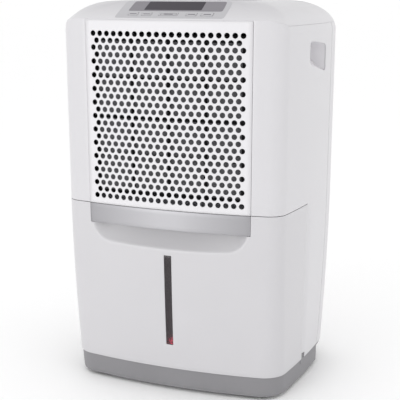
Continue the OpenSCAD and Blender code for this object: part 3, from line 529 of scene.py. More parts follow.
@dataclass(frozen=True)
class CasingForm:
    """Bowed plan with round corners, drawn in below, domed above. A point on it is given by
    s, the distance round the plan from the middle of the front, and v, the height up to the
    shoulder and then the profile angle of the dome.
    """

    front_centre: tuple[float, float] = (0.0, 762.0)
    front_radius: float = 912.0
    side_centre: tuple[float, float] = (-1072.0, 80.0)
    side_radius: float = 1265.0
    corner: float = 28.0
    rear: float = 63.0
    back: float = 150.0
    shoulder: float = 557.0
    crease: float = 577.0
    crease_angle: float = 15.0
    top: float = 602.0
    seam: float = 297.0
    drawn: float = 12.9
    side_share: float = 0.35
    rounding: float = 1.62
    base: float = 6.0
    plateau_in: tuple[float, float, float] = (49.0, 75.0, 45.0)
    plateau_radii: tuple[float, float] = (24.0, 30.0)

    def centres(self, front_in: Array, side_in: Array, rear_in: Array, rc: Array, rr: Array) -> tuple:
        """Corner centres of an inset plan, where the inset arcs meet.

        Args:
            front_in: inset of the front.
            side_in: inset of the sides.
            rear_in: inset of the back.
            rc: front corner radius.
            rr: rear corner radius.

        Returns:
            x and y of the front corner centre, x and y of the rear one, and the three headings
            in radians where the front ends, where the side starts and where it ends.
        """
        (ax, ay), (bx, by) = self.front_centre, self.side_centre
        ra = self.front_radius - front_in - rc
        rb = self.side_radius - side_in - rc
        d = math.hypot(bx - ax, by - ay)
        ux, uy = (bx - ax) / d, (by - ay) / d
        k = (ra**2 - rb**2 + d * d) / (2 * d)
        h = np.sqrt(ra**2 - k**2)
        first = ay + k * uy + h * ux < ay + k * uy - h * ux
        sign = np.where(first, 1.0, -1.0)
        cx, cy = ax + k * ux - sign * h * uy, ay + k * uy + sign * h * ux
        ry = self.back - rear_in - rr
        rx = bx + np.sqrt((self.side_radius - side_in - rr) ** 2 - (ry - by) ** 2)
        return (cx, cy, rx, ry, np.arctan2(cy - ay, cx - ax), np.arctan2(cy - by, cx - bx),
                np.arctan2(ry - by, rx - bx))

    def outline(self, u: Array, front_in: Array, side_in: Array, rear_in: Array, rc: Array,
                rr: Array) -> Array:
        """Right half of an inset plan: front arc for u 0 to 1, corner to 2, side to 3, rear corner
        to 4 and flat back to 5, each point a centre plus a radius in a direction.

        Args:
            u: place along the half plan, 0 to 5.
            front_in: inset of the front.
            side_in: inset of the sides.
            rear_in: inset of the back.
            rc: front corner radius.
            rr: rear corner radius.

        Returns:
            Points (..., 2).
        """
        cx, cy, rx, ry, a1, a2, a3 = self.centres(front_in, side_in, rear_in, rc, rr)
        (fx, fy), (sx, sy) = self.front_centre, self.side_centre
        down, out = -math.pi / 2, math.pi / 2
        arcs = ((fx, fy, self.front_radius - front_in, down, a1), (cx, cy, rc, a1, a2),
                (sx, sy, self.side_radius - side_in, a2, a3), (rx, ry, rr, a3, out))
        picks = [u <= 1, u <= 2, u <= 3, u <= 4]
        xs, ys = [], []
        for k, (ox, oy, r, start, end) in enumerate(arcs):
            angle = start + (end - start) * (u - k)
            xs.append(ox + r * np.cos(angle))
            ys.append(oy + r * np.sin(angle))
        x = np.select(picks, xs, rx * (5 - u))
        y = np.select(picks, ys, self.back - rear_in + 0 * u)
        return np.stack([x, y], -1)

    def plan(self, u: Array, e: Array, d: Array) -> Array:
        """Plan inset by e all round and drawn in by d: fully at the front and back, by a share
        on the sides, while the corner radii grow by the part the sides don't take.

        Args:
            u: place along the half plan.
            e: inset.
            d: draw.

        Returns:
            Points (..., 2).
        """
        grown = d * (1 - self.side_share) * self.rounding
        return self.outline(u, e + d, e + self.side_share * d, e + d, np.maximum(self.corner - e + grown, 4),
                            np.maximum(self.rear - e + grown, 6))

    def plateau(self, u: Array) -> Array:
        """Edge of the flat top: the plan inset by its own widths, with its own corner radii.

        Args:
            u: place along the half plan.

        Returns:
            Points (..., 2).
        """
        zero = np.zeros_like(u)
        f, s, r = self.plateau_in
        return self.outline(u, f + zero, s + zero, r + zero, self.plateau_radii[0] + zero,
                            self.plateau_radii[1] + zero)

    def runs(self) -> Array:
        """Distance round the plan at u 0 to 5: each arc's radius times its turn.

        Returns:
            Six distances.
        """
        zero = np.zeros(1)
        _, _, rx, _, a1, a2, a3 = self.centres(zero, zero, zero, zero + self.corner, zero + self.rear)
        steps = [self.front_radius * (a1[0] + math.pi / 2), self.corner * (a2 - a1)[0],
                 self.side_radius * (a3 - a2)[0], self.rear * (math.pi / 2 - a3[0]), rx[0]]
        return np.concatenate([[0.0], np.cumsum(steps)])

    def length(self) -> float:
        """Distance from the middle of the front to the middle of the back."""
        return float(self.runs()[-1])

    def front(self, x: float) -> float:
        """Distance s of the point x on the front."""
        return self.front_radius * math.asin(x / self.front_radius)

    def side(self, y: float) -> float:
        """Distance s of a point on the right side.

        Args:
            y: its place from front to rear.

        Returns:
            The distance.
        """
        zero = np.zeros(1)
        a2 = self.centres(zero, zero, zero, zero + self.corner, zero + self.rear)[5][0]
        turn = math.asin((y - self.side_centre[1]) / self.side_radius) - a2
        return float(self.runs()[2] + self.side_radius * turn)

    def draw(self, z: Array) -> Array:
        """Inward draw below the seam: the drop as a share of the full drop, to the power 1.8."""
        drop = np.clip((self.seam - z) / (self.seam - self.base), 0, None)
        return self.drawn * drop**1.8

    def point(self, s: Array, v: Array, depth: Array) -> Array:
        """Point of the form.

        Below the shoulder it is the plan inset by the draw and the depth. Above it the plan
        moves to the plateau: on the sides by 1 - cos(a) while the height follows sin(a), and on
        the front straight, with the profile angle a.

        Args:
            s: distance round the plan.
            v: height up to the crease, where the profile has turned by crease_angle, then degrees.
            depth: distance below the surface.

        Returns:
            Points (..., 3).
        """
        s, v, depth = (x.astype(float) for x in np.broadcast_arrays(s, v, depth))
        full = self.length()
        turned = (s + 4 * full) % (2 * full)
        right = turned <= full
        u = np.interp(np.where(right, turned, 2 * full - turned), self.runs(), np.arange(6.0))
        rise = self.crease - self.shoulder
        bend = self.crease_angle
        below = np.clip(v - self.shoulder, 0, rise) * bend / rise
        a = np.clip(np.where(v <= self.crease, below, bend + v - self.crease), 0, 90)
        w = np.clip(2 - u, 0, 1)
        p, q = self.plan(u, depth, self.draw(v)), self.plateau(u)
        share = np.clip((a - bend) / (90 - bend), 0, 1)
        f = w * share + (1 - w) * (1 - np.cos(np.radians(a)))
        xy = p + (q - p) * f[..., None]
        slope = self.crease + (self.top - self.crease) * share
        z_front = np.where(a <= bend, self.shoulder + rise * a / bend, slope)
        z_side = self.shoulder + (self.top - self.shoulder) * np.sin(np.radians(a))
        z = w * z_front + (1 - w) * z_side - depth * np.sin(np.radians(np.minimum(90, 2.2 * a)))
        z = np.where(v <= self.shoulder, v, z)
        return np.stack([np.where(right, xy[..., 0], -xy[..., 0]), xy[..., 1], z], -1)

    def slope(self, x: Array, e: Array, lift: Array) -> Array:
        """Point of the sloping control area at a sideways place, found by three corrections of s.

        Args:
            x: sideways place.
            e: distance back from the crease.
            lift: height above the surface, square to it.

        Returns:
            Points (..., 3).
        """
        v = self.crease + (90 - self.crease_angle) * e / self.plateau_in[0]
        s = np.array(x, float)
        for _ in range(3):
            s = s + (x - self.point(s, v, 0.0)[..., 0]) * 1.1
        p = self.point(s, v, 0.0)
        tilt = math.atan((self.top - self.crease) / self.plateau_in[0])
        bow = -p[..., 0] / self.front_radius
        rise = np.broadcast_to(lift, bow.shape)
        return p + np.stack([-rise * bow * math.sin(tilt), -rise * math.sin(tilt), rise * math.cos(tilt)], -1)


FORM = CasingForm()


# ---- Casing shells ----


@dataclass
class Casing:
    """Cabinet wings, rear housing, top cover, hand recesses and base skirt."""

    body: str = "casing"
    panel_half: float = 131.9
    wall: float = 2.4
    edge: float = 0.7
    lower: float = 38.0
    seam_z: float = 297.4
    split_y: float = 69.9
    fascia_y: float = -30.2
    step_y: float = -12.0
    step_depth: float = 1.6
    recess_y: tuple[float, float] = (-38.0, 38.0)
    recess_front_z: tuple[float, float] = (511.0, 545.0)
    recess_rear_z: tuple[float, float] = (495.0, 537.0)
    recess_rise: float = 20.0
    notch_z: float = 47.0
    recess_depth: float = 165.2
    recess_radius: float = 6.0
    square: float = 20.0
    margin: float = 7.0
    screws: tuple[float, ...] = (90.0, 250.0, 410.0, 535.0)
    screw_x: float = 118.0
    spout: tuple[float, float] = (-95.0, 320.0)
    gland: tuple[float, float] = (84.0, 84.0)
    louvre: tuple[float, float, float] = (100.4, 35.4, -15.0)
    slot_half: float = 86.0
    slot_v: tuple[float, float] = (13.0, 26.8)
    cut_from: tuple[float, float] = (187.0, 57.0)
    cut_to: tuple[float, float] = (152.0, 133.0)
    cut_top: float = 33.0

    def recess_block(self) -> tuple[Array, Array]:
        """Block of cells round the hand recess, a margin wider than the recess.

        Returns:
            Its two distances s and its two heights.
        """
        y0, y1 = self.recess_y
        s = np.array([FORM.side(y0 - self.margin), FORM.side(y1 + self.margin)])
        z = np.array([self.recess_rear_z[0] - self.margin, self.recess_front_z[1] + self.margin])
        return s, z

    def skewed(self, loop: Array, grow: float) -> Array:
        """Carries a loop in a square, whose half side is self.square, onto the skewed opening:
        its lower and upper edges fall evenly from front to rear.

        Args:
            loop: offsets (n, 2) in the square.
            grow: how far the opening is grown all round, in mm.

        Returns:
            y and z of the points (n, 2).
        """
        y0, y1 = self.recess_y
        y = (y0 + y1) / 2 + loop[:, 0] / self.square * ((y1 - y0) / 2 + grow)
        low = np.interp(y, self.recess_y, (self.recess_front_z[0], self.recess_rear_z[0])) - grow
        high = np.interp(y, self.recess_y, (self.recess_front_z[1], self.recess_rear_z[1])) + grow
        return np.stack([y, low + (high - low) * (loop[:, 1] + self.square) / (2 * self.square)], -1)

    def wing(self, name: str, left: bool) -> bpy.types.Object:
        """Side of the cabinet from the grille round to the rear housing, with the hole of the
        hand recess. Below the seam it starts behind the bucket front with a shallow step:
        depth 1.6 mm faded to nothing over 18 mm.

        Args:
            name: piece name.
            left: whether it is the left one.

        Returns:
            The piece.
        """
        (sa, sb), (za, zb) = self.recess_block()
        y0, y1 = self.recess_y
        front_end, corner_end = FORM.runs()[1:3]
        start, step_end = FORM.side(self.fascia_y), FORM.side(self.step_y)
        s = np.concatenate([lines(FORM.front(self.panel_half), front_end, step=8.0)[:-1],
                            lines(front_end, corner_end, step=3.0)[:-1],
                            lines(corner_end, sa, step=8.0)[:-1],
                            lines(sa, start, step_end, step=3.0)[:-1],
                            lines(step_end, sb, FORM.side(self.split_y), step=8.0)])
        v = np.concatenate([lines(self.lower, self.notch_z, self.seam_z, za, step=14.0)[:-1],
                            lines(za, zb, step=8.0)[:-1],
                            lines(zb, FORM.shoulder, FORM.crease - 0.15, step=3.0)])
        grid = np.stack(np.broadcast_arrays(s[:, None], v[None, :]), -1)
        i0, i1, j0, j1 = index_of(s, sa), index_of(s, sb), index_of(v, za), index_of(v, zb)
        mid_s, mid_v = (s[:-1] + s[1:])[:, None] / 2, (v[:-1] + v[1:])[None, :] / 2
        keep = (mid_s > start) | (mid_v > self.seam_z)
        keep &= (mid_s < start) | (mid_s > step_end) | (mid_v > self.notch_z)
        keep[i0:i1, j0:j1] = False
        rim = rounded_loop(i1 - i0, j1 - j0, self.square, self.square, self.recess_radius)
        rim = self.skewed(rim, 0.0)
        rim[:, 0] = np.interp(rim[:, 0], [y0, y1], [FORM.side(y0), FORM.side(y1)])
        skin = Skin.grid(grid, keep) + ring_rows([block_loop(grid, i0, i1, j0, j1), rim])

        def carry(p: Array) -> Array:
            """Point of the form, sunk by the step behind the bucket front.

            Args:
                p: s and v of the points (n, 2).

            Returns:
                Points (n, 3).
            """
            back = (p[:, 0] - start) / (step_end - start)
            low = p[:, 1] < self.seam_z - 0.2
            return FORM.point(p[:, 0], p[:, 1], np.where(low, self.step_depth * (1 - fade(back)), 0.0))

        skin = skin.through(carry)
        return (skin.mirrored() if left else skin).object(
            name, WHITE_SHELL, self.body, ("cabinet",), "white_shell", self.wall, self.edge, steps=3)

    def hand_recess(self, name: str, left: bool) -> bpy.types.Object:
        """Pocket behind the hole: a rounded rectangle carried inwards to a flat back, its lower
        side rising as far as it has gone in.

        Args:
            name: piece name.
            left: whether it is the left one.

        Returns:
            The piece.
        """
        y0, y1 = self.recess_y
        loop = self.skewed(rounded_loop(14, 10, self.square, self.square, self.recess_radius), 0.6)
        y = loop[:, 0]
        along = np.interp(y, [y0 - 1, y1 + 1], [FORM.side(y0 - 1), FORM.side(y1 + 1)])
        x_wall = FORM.point(along, loop[:, 1], 1.6)[:, 0]
        rows = []
        for t in np.linspace(0.0, 1.0, 9):
            x = x_wall + (self.recess_depth - x_wall) * t
            floor = self.recess_rear_z[0] + self.recess_rise - 0.6 - (x - self.recess_depth)
            rows.append(np.stack([x, y, np.maximum(loop[:, 1], floor)], -1))
        last = rows[-1]
        middle = np.array([self.recess_depth, last[:, 1].mean(), last[:, 2].mean()])
        rows += [middle + (last - middle) * k for k in (0.5, 0.0)]
        skin = ring_rows(rows)
        node = "handle_cup_left" if left else "handle_cup_right"
        return (skin.mirrored() if left else skin).object(
            name, CUP_PLASTIC, self.body, (node,), "white_shell", 1.6)

    def rear(self) -> bpy.types.Object:
        """Rear housing round both rear corners, with screw pockets, the pocket of the drain
        spout and the hole of the cord gland, each a set of circles that step inwards.

        Returns:
            The piece.
        """
        full, start = FORM.length(), FORM.side(self.split_y + 0.5)
        holes = [(full - sx * self.screw_x, z, 7.4, ((5.4, 0), (4.6, 0.6), (4.6, 3.0), (2.2, 3.0)))
                 for sx in (1, -1) for z in self.screws]
        holes.append((full - self.spout[0], self.spout[1], 30.0,
                      ((23.0, 0), (21.5, 1.2), (21.5, 20.0), (9.0, 20.0))))
        holes.append((full - self.gland[0], self.gland[1], 14.0, ((8.9, 0), (8.1, 0.7), (8.1, 2.0))))
        bends = FORM.runs()[3:5]
        sides = {h[0] + k * h[2] for h in holes for k in (-1, 1)}
        stops_s = sorted({start, 2 * full - start, *bends, *(2 * full - bends)} | sides)
        stops_z = sorted({self.lower, self.seam_z} | {h[1] + k * h[2] for h in holes for k in (-1, 1)})
        s = lines(*stops_s, step=9.0)
        bend = lines(*bends, step=3.0)
        s = np.unique(np.round(np.concatenate([s, bend, 2 * full - bend]), 6))
        v = np.concatenate([lines(*stops_z, step=9.0),
                            lines(FORM.shoulder - 8.0, FORM.shoulder, FORM.crease - 0.15, step=3.0)])
        v = np.unique(np.round(v, 6))
        grid = np.stack(np.broadcast_arrays(s[:, None], v[None, :]), -1)
        flat = np.concatenate([grid, np.zeros((*grid.shape[:2], 1))], -1)
        keep = np.ones((len(s) - 1, len(v) - 1), bool)
        skin = Skin(np.zeros((0, 3)), np.zeros((0, 4), int))
        for hs, hz, half, steps in holes:
            i0, i1 = index_of(s, hs - half), index_of(s, hs + half)
            j0, j1 = index_of(v, hz - half), index_of(v, hz + half)
            keep[i0:i1, j0:j1] = False
            rows = [block_loop(flat, i0, i1, j0, j1)]
            for radius, depth in steps:
                loop = circle_loop(i1 - i0, j1 - j0, radius) + (hs, hz)
                rows.append(np.concatenate([loop, np.full((len(loop), 1), depth)], -1))
            skin = skin + ring_rows(rows)
        skin = Skin.grid(flat, keep) + skin
        skin = skin.through(lambda p: FORM.point(p[:, 0], p[:, 1], p[:, 2]))
        return skin.object("rear_housing_shell", WHITE_SHELL, self.body, ("rear_housing",), "white_shell",
                           1.6, 0.3)

    def cover(self) -> bpy.types.Object:
        """Domed top cover from the crease to the outlet, with a slot under the control overlay.
        The flat top runs straight from the plateau to the rounded rectangle of the outlet.

        Returns:
            The piece.
        """
        runs = FORM.runs()
        slot, (slot_low, slot_high) = FORM.front(self.slot_half), self.slot_v
        parts = [lines(0.0, slot, runs[1], step=7.0), lines(runs[1], runs[2], step=2.4),
                 lines(runs[2], runs[3], step=8.0), lines(runs[3], runs[4], step=3.6),
                 lines(runs[4], runs[5], step=8.0)]
        half = np.unique(np.round(np.concatenate(parts), 6))
        s = np.concatenate([-half[:0:-1], half])
        v = FORM.crease + lines(0.0, slot_low, slot_high, 75.0, step=4.0)
        points = FORM.point(s[:, None], v[None, :], 0.0)
        keep = np.ones((len(s) - 1, len(v) - 1), bool)
        j0, j1 = index_of(v, FORM.crease + slot_low), index_of(v, FORM.crease + slot_high)
        keep[index_of(s, -slot):index_of(s, slot), j0:j1] = False
        edge = points[:, -1]
        half_w, half_d, mid_y = self.louvre
        loop = rounded_loop(60, 30, half_w, half_d, 2.0)
        angle = np.unwrap(np.arctan2(loop[:, 1], loop[:, 0]))
        want = np.arctan2(edge[:, 1] - mid_y, edge[:, 0])
        want = angle[0] + (want - angle[0]) % (2 * math.pi)
        closed = np.append(angle, angle[0] + 2 * math.pi)
        rim = np.stack([np.interp(want, closed, np.append(loop[:, k], loop[0, k])) for k in (0, 1)], -1)
        rim = np.concatenate([rim + (0.0, mid_y), np.full((len(rim), 1), FORM.top)], -1)
        rows = np.stack([edge + (rim - edge) * t for t in (0.0, 0.33, 0.66, 1.0)], 1)
        skin = Skin.grid(points, keep) + Skin.grid(rows)
        return skin.object("top_cover_shell", COVER_SHELL, self.body, ("top_cover",), "white_shell",
                           self.wall, self.edge, steps=3)

    def skirt(self) -> bpy.types.Object:
        """Outer band of the base tray: the plan inset by 1.6 mm, rounded under at the floor. Below
        the rim its rear corners are cut back: the width is held to a line that falls from
        cut_from to cut_to.

        Returns:
            The piece.
        """
        runs = FORM.runs()
        parts = [lines(0.0, runs[1], step=9.0), lines(runs[1], runs[2], step=3.0),
                 lines(runs[2], FORM.side(self.cut_from[1]), runs[3], step=6.0),
                 lines(runs[3], runs[4], step=3.6), lines(runs[4], runs[5], step=12.0)]
        half = np.unique(np.round(np.concatenate(parts), 6))
        s = np.concatenate([-half[:0:-1], half])
        turn = np.radians([90, 67.5, 45, 22.5, 0])
        radius, inset, rim = 4.0, 1.6, 37.8
        z = np.concatenate([FORM.base + radius * (1 - np.sin(turn)), [14.0, 22.0, 30.0],
                            [self.cut_top, self.cut_top + 0.05, rim, rim]])
        depth = np.concatenate([inset + radius * (1 - np.cos(turn)), [inset] * 6, [inset + 4.0]])
        points = FORM.point(s[:, None], z[None, :], depth[None, :])
        low = points[..., 2] < self.cut_top + 0.02
        (x0, y0), (x1, y1) = self.cut_from, self.cut_to
        held = np.interp(points[..., 1], [y0, y1], [x0, x1])
        held = np.where(low, held + 0.3, 999.0)
        points[..., 0] = np.clip(points[..., 0], -held, held)
        return Skin.grid(points).object("base_skirt", BASE_GREY, self.body, (), "grey_base", 0.9, crease=50.0)


# ---- Intake grille ----


@dataclass
class Grille:
    """Removable perforated panel on the bowed front."""

    body: str = "grille"
    half: float = 131.5
    low: float = 297.4
    high: float = 575.8
    pitch: float = 11.8
    rows: int = 25
    columns: int = 21
    middle: float = 433.0
    radius: float = 4.0
    chamfer: float = 0.45
    wall: float = 2.5
    sides: int = 4

    def tiles(self, centres: Array, row_pitch: float) -> Skin:
        """One square of sheet for each hole: a loop round the tile, the rim of the chamfer and
        the hole itself, 16 points to a loop.

        Args:
            centres: hole centres (n, 2).
            row_pitch: tile height.

        Returns:
            Sheet in x, z and depth.
        """
        n = self.sides
        t = np.linspace(-0.5, 0.5, n, endpoint=False)
        low = np.full(n, -0.5)
        square = np.concatenate([np.stack([t, low], -1), np.stack([-low, t], -1), np.stack([-t, -low], -1),
                                 np.stack([low, -t], -1)]) * (self.pitch, row_pitch)
        outer = circle_loop(n, n, self.radius + self.chamfer)
        inner = circle_loop(n, n, self.radius)
        flat = np.zeros(4 * n)
        loops = np.stack([np.column_stack([square, flat]), np.column_stack([outer, flat]),
                          np.column_stack([inner, flat + self.chamfer])], 1)
        tile = Skin.grid(np.concatenate([loops, loops[:1]]))
        points = tile.points[None] + np.column_stack([centres, np.zeros(len(centres))])[:, None]
        faces = tile.faces[None] + (np.arange(len(centres)) * len(tile.points))[:, None, None]
        return Skin(points.reshape(-1, 3), faces.reshape(-1, 4))

    def build(self) -> bpy.types.Object:
        """Panel with its staggered holes: tiles, side margins and upper and lower margins.

        Returns:
            The piece.
        """
        row_pitch = self.pitch * math.sqrt(3) / 2
        row = np.arange(self.rows)
        z = self.middle + ((self.rows - 1) / 2 - row) * row_pitch
        col = np.arange(self.columns)
        x = (col[None, :] - (self.columns - 1 - row[:, None] % 2) / 2) * self.pitch
        real = col[None, :] < self.columns - row[:, None] % 2
        centres = np.stack(np.broadcast_arrays(x, z[:, None]), -1)[real]
        skin = self.tiles(centres, row_pitch)
        quarter = self.pitch / self.sides
        reach = self.columns * self.pitch / 2
        rise = np.linspace(-0.5, 0.5, self.sides + 1) * row_pitch
        for odd in (0, 1):
            edge = reach - odd * self.pitch / 2
            xs = np.unique(np.round(np.append(np.arange(edge, reach + 0.01, quarter), self.half), 6))
            for height in z[odd::2]:
                block = np.stack(np.broadcast_arrays(xs[:, None], height + rise[None, :], 0.0), -1)
                right = Skin.grid(block)
                skin = skin + right + right.mirrored()
        across = np.concatenate([[-self.half], np.arange(-reach, reach + 0.01, quarter), [self.half]])
        for zs in (lines(self.low, z[-1] - row_pitch / 2, step=4.0),
                   lines(z[0] + row_pitch / 2, self.high, step=5.0)):
            skin = skin + Skin.grid(np.stack(np.broadcast_arrays(across[:, None], zs[None, :], 0.0), -1))

        def bow(p: Array) -> Array:
            """The flat sheet laid on the front arc: y from the arc centre less the radius's rise.

            Args:
                p: x, z and depth of the points (n, 3).

            Returns:
                Points (n, 3).
            """
            y = FORM.front_centre[1] - np.sqrt((FORM.front_radius - p[:, 2]) ** 2 - p[:, 0] ** 2)
            return np.stack([p[:, 0], y, p[:, 1]], -1)

        return skin.through(bow).object("grille_panel", PANEL_WHITE, self.body, ("intake_grille",),
                                        "grille_white", self.wall, crease=30.0)


# ---- Bucket ----


@dataclass
class Bucket:
    """Front with its finger scoop, silver strip and level window."""

    body: str = "bucket"
    low: float = 38.8
    high: float = 296.6
    side_y: float = -31.0
    strip: float = 266.0
    strip_half: float = 131.9
    strip_depth: float = 3.6
    scoop_radius: float = 42.0
    scoop_y: float = -168.0
    scoop_z: float = 273.0
    scoop_end: float = 96.0
    softness: float = 1.1
    window: tuple[float, float, float] = (2.0, 79.0, 226.0)
    window_half: float = 6.25
    wall: float = 2.4

    def sunk(self, points: Array) -> Array:
        """Points pushed back to the finger scoop: a capsule along x, the greater of the wall's y
        and the capsule's, blended by the root of their squared difference.

        Args:
            points: points of the wall (n, 3).

        Returns:
            The points with the scoop in them.
        """
        x, y, z = points.T
        across = np.clip(np.abs(x) - self.scoop_end, 0, None)
        inside = self.scoop_radius**2 - (z - self.scoop_z) ** 2 - across**2
        outside = np.clip(-inside, 0.0, None) / 60.0
        capsule = self.scoop_y + np.sqrt(np.clip(inside, 0.0, None)) - outside
        gap = capsule - y
        deeper = np.where(gap > -9, (gap + np.sqrt(gap * gap + self.softness**2)) / 2, 0.0)
        fadeout = np.clip((gap + 9) / 6, 0, 1)
        return np.stack([x, y + deeper * fadeout, z], -1)

    def fascia(self) -> bpy.types.Object:
        """Moulded front: the casing form with the recess of the strip, the scoop and the slot
        of the window.

        Returns:
            The piece.
        """
        runs = FORM.runs()
        wx, wz0, wz1 = self.window
        w_mid, w_half = (wz0 + wz1) / 2, (wz1 - wz0) / 2
        block = 13.0
        s_strip, s_end = FORM.front(self.strip_half), FORM.side(self.side_y)
        right = lines(wx + block, s_strip - 0.35, step=1.7)
        outer = np.concatenate([[s_strip], lines(s_strip + 2.0, runs[1], step=4.0)[:-1],
                                lines(runs[1], runs[2], step=2.6)[:-1], lines(runs[2], s_end, step=7.0)])
        left = lines(-(wx - block), s_strip - 0.35, step=1.7)
        middle = lines(wx - block, wx + block, step=1.7)
        s = np.unique(np.round(np.concatenate([-outer, -left, middle, right, outer]), 6))
        v = np.concatenate([lines(self.low, wz0 - 6, wz1 + 4, step=10.0)[:-1],
                            lines(wz1 + 4, self.strip - 0.35, step=1.5),
                            lines(self.strip, self.high, step=3.0)])
        flat = np.stack(np.broadcast_arrays(s[:, None], v[None, :], 0.0), -1)
        i0, i1 = index_of(s, wx - block), index_of(s, wx + block)
        j0, j1 = index_of(v, wz0 - 6), index_of(v, wz1 + 4)
        keep = np.ones((len(s) - 1, len(v) - 1), bool)
        keep[i0:i1, j0:j1] = False
        rim = rounded_loop(i1 - i0, j1 - j0, self.window_half, w_half, 1.2) + (wx, w_mid)
        rim = np.column_stack([rim, np.zeros(len(rim))])
        skin = Skin.grid(flat, keep) + ring_rows([block_loop(flat, i0, i1, j0, j1), rim])

        def carry(p: Array) -> Array:
            """Point of the form, with the strip's recess and the scoop.

            Args:
                p: s and v of the points (n, 3).

            Returns:
                Points (n, 3).
            """
            recessed = (np.abs(p[:, 0]) < s_strip - 0.2) & (p[:, 1] > self.strip - 0.2)
            return self.sunk(FORM.point(p[:, 0], p[:, 1], np.where(recessed, self.strip_depth, 0.0)))

        return skin.through(carry).object("bucket_front", FRONT_SHELL, self.body, ("bucket_fascia",),
                                          "white_shell", self.wall, 0.6, crease=42.0)

    def trim(self) -> bpy.types.Object:
        """Silver strip on the front arc, turned back along its top.

        Returns:
            The piece.
        """
        reach = FORM.front(131.5)
        s = lines(-reach, reach, step=8.0)
        z = np.concatenate([lines(266.4, 295.6, step=6.0), [296.3, 296.6, 296.6, 296.6]])
        depth = np.concatenate([np.full(len(z) - 4, 0.3), [0.6, 1.3, 12.0, 23.0]])
        return Skin.grid(FORM.point(s[:, None], z[None, :], depth[None, :])).object(
            "silver_strip", SILVER_STRIP, self.body, ("bucket_trim",), "silver_trim", 2.6, 0.5)

    def lens(self) -> bpy.types.Object:
        """Window lens, half a millimetre below the front.

        Returns:
            The piece.
        """
        wx, z0, z1 = self.window
        s, z = lines(wx - 6.1, wx + 6.1, step=3.0), lines(z0 + 0.15, z1 - 0.15, step=12.0)
        return Skin.grid(FORM.point(s[:, None], z[None, :], 0.5)).object(
            "level_window", SMOKED_LENS, self.body, ("window_lens",), "smoke_lens", 2.2, 0.3)


# ---- Control panel ----


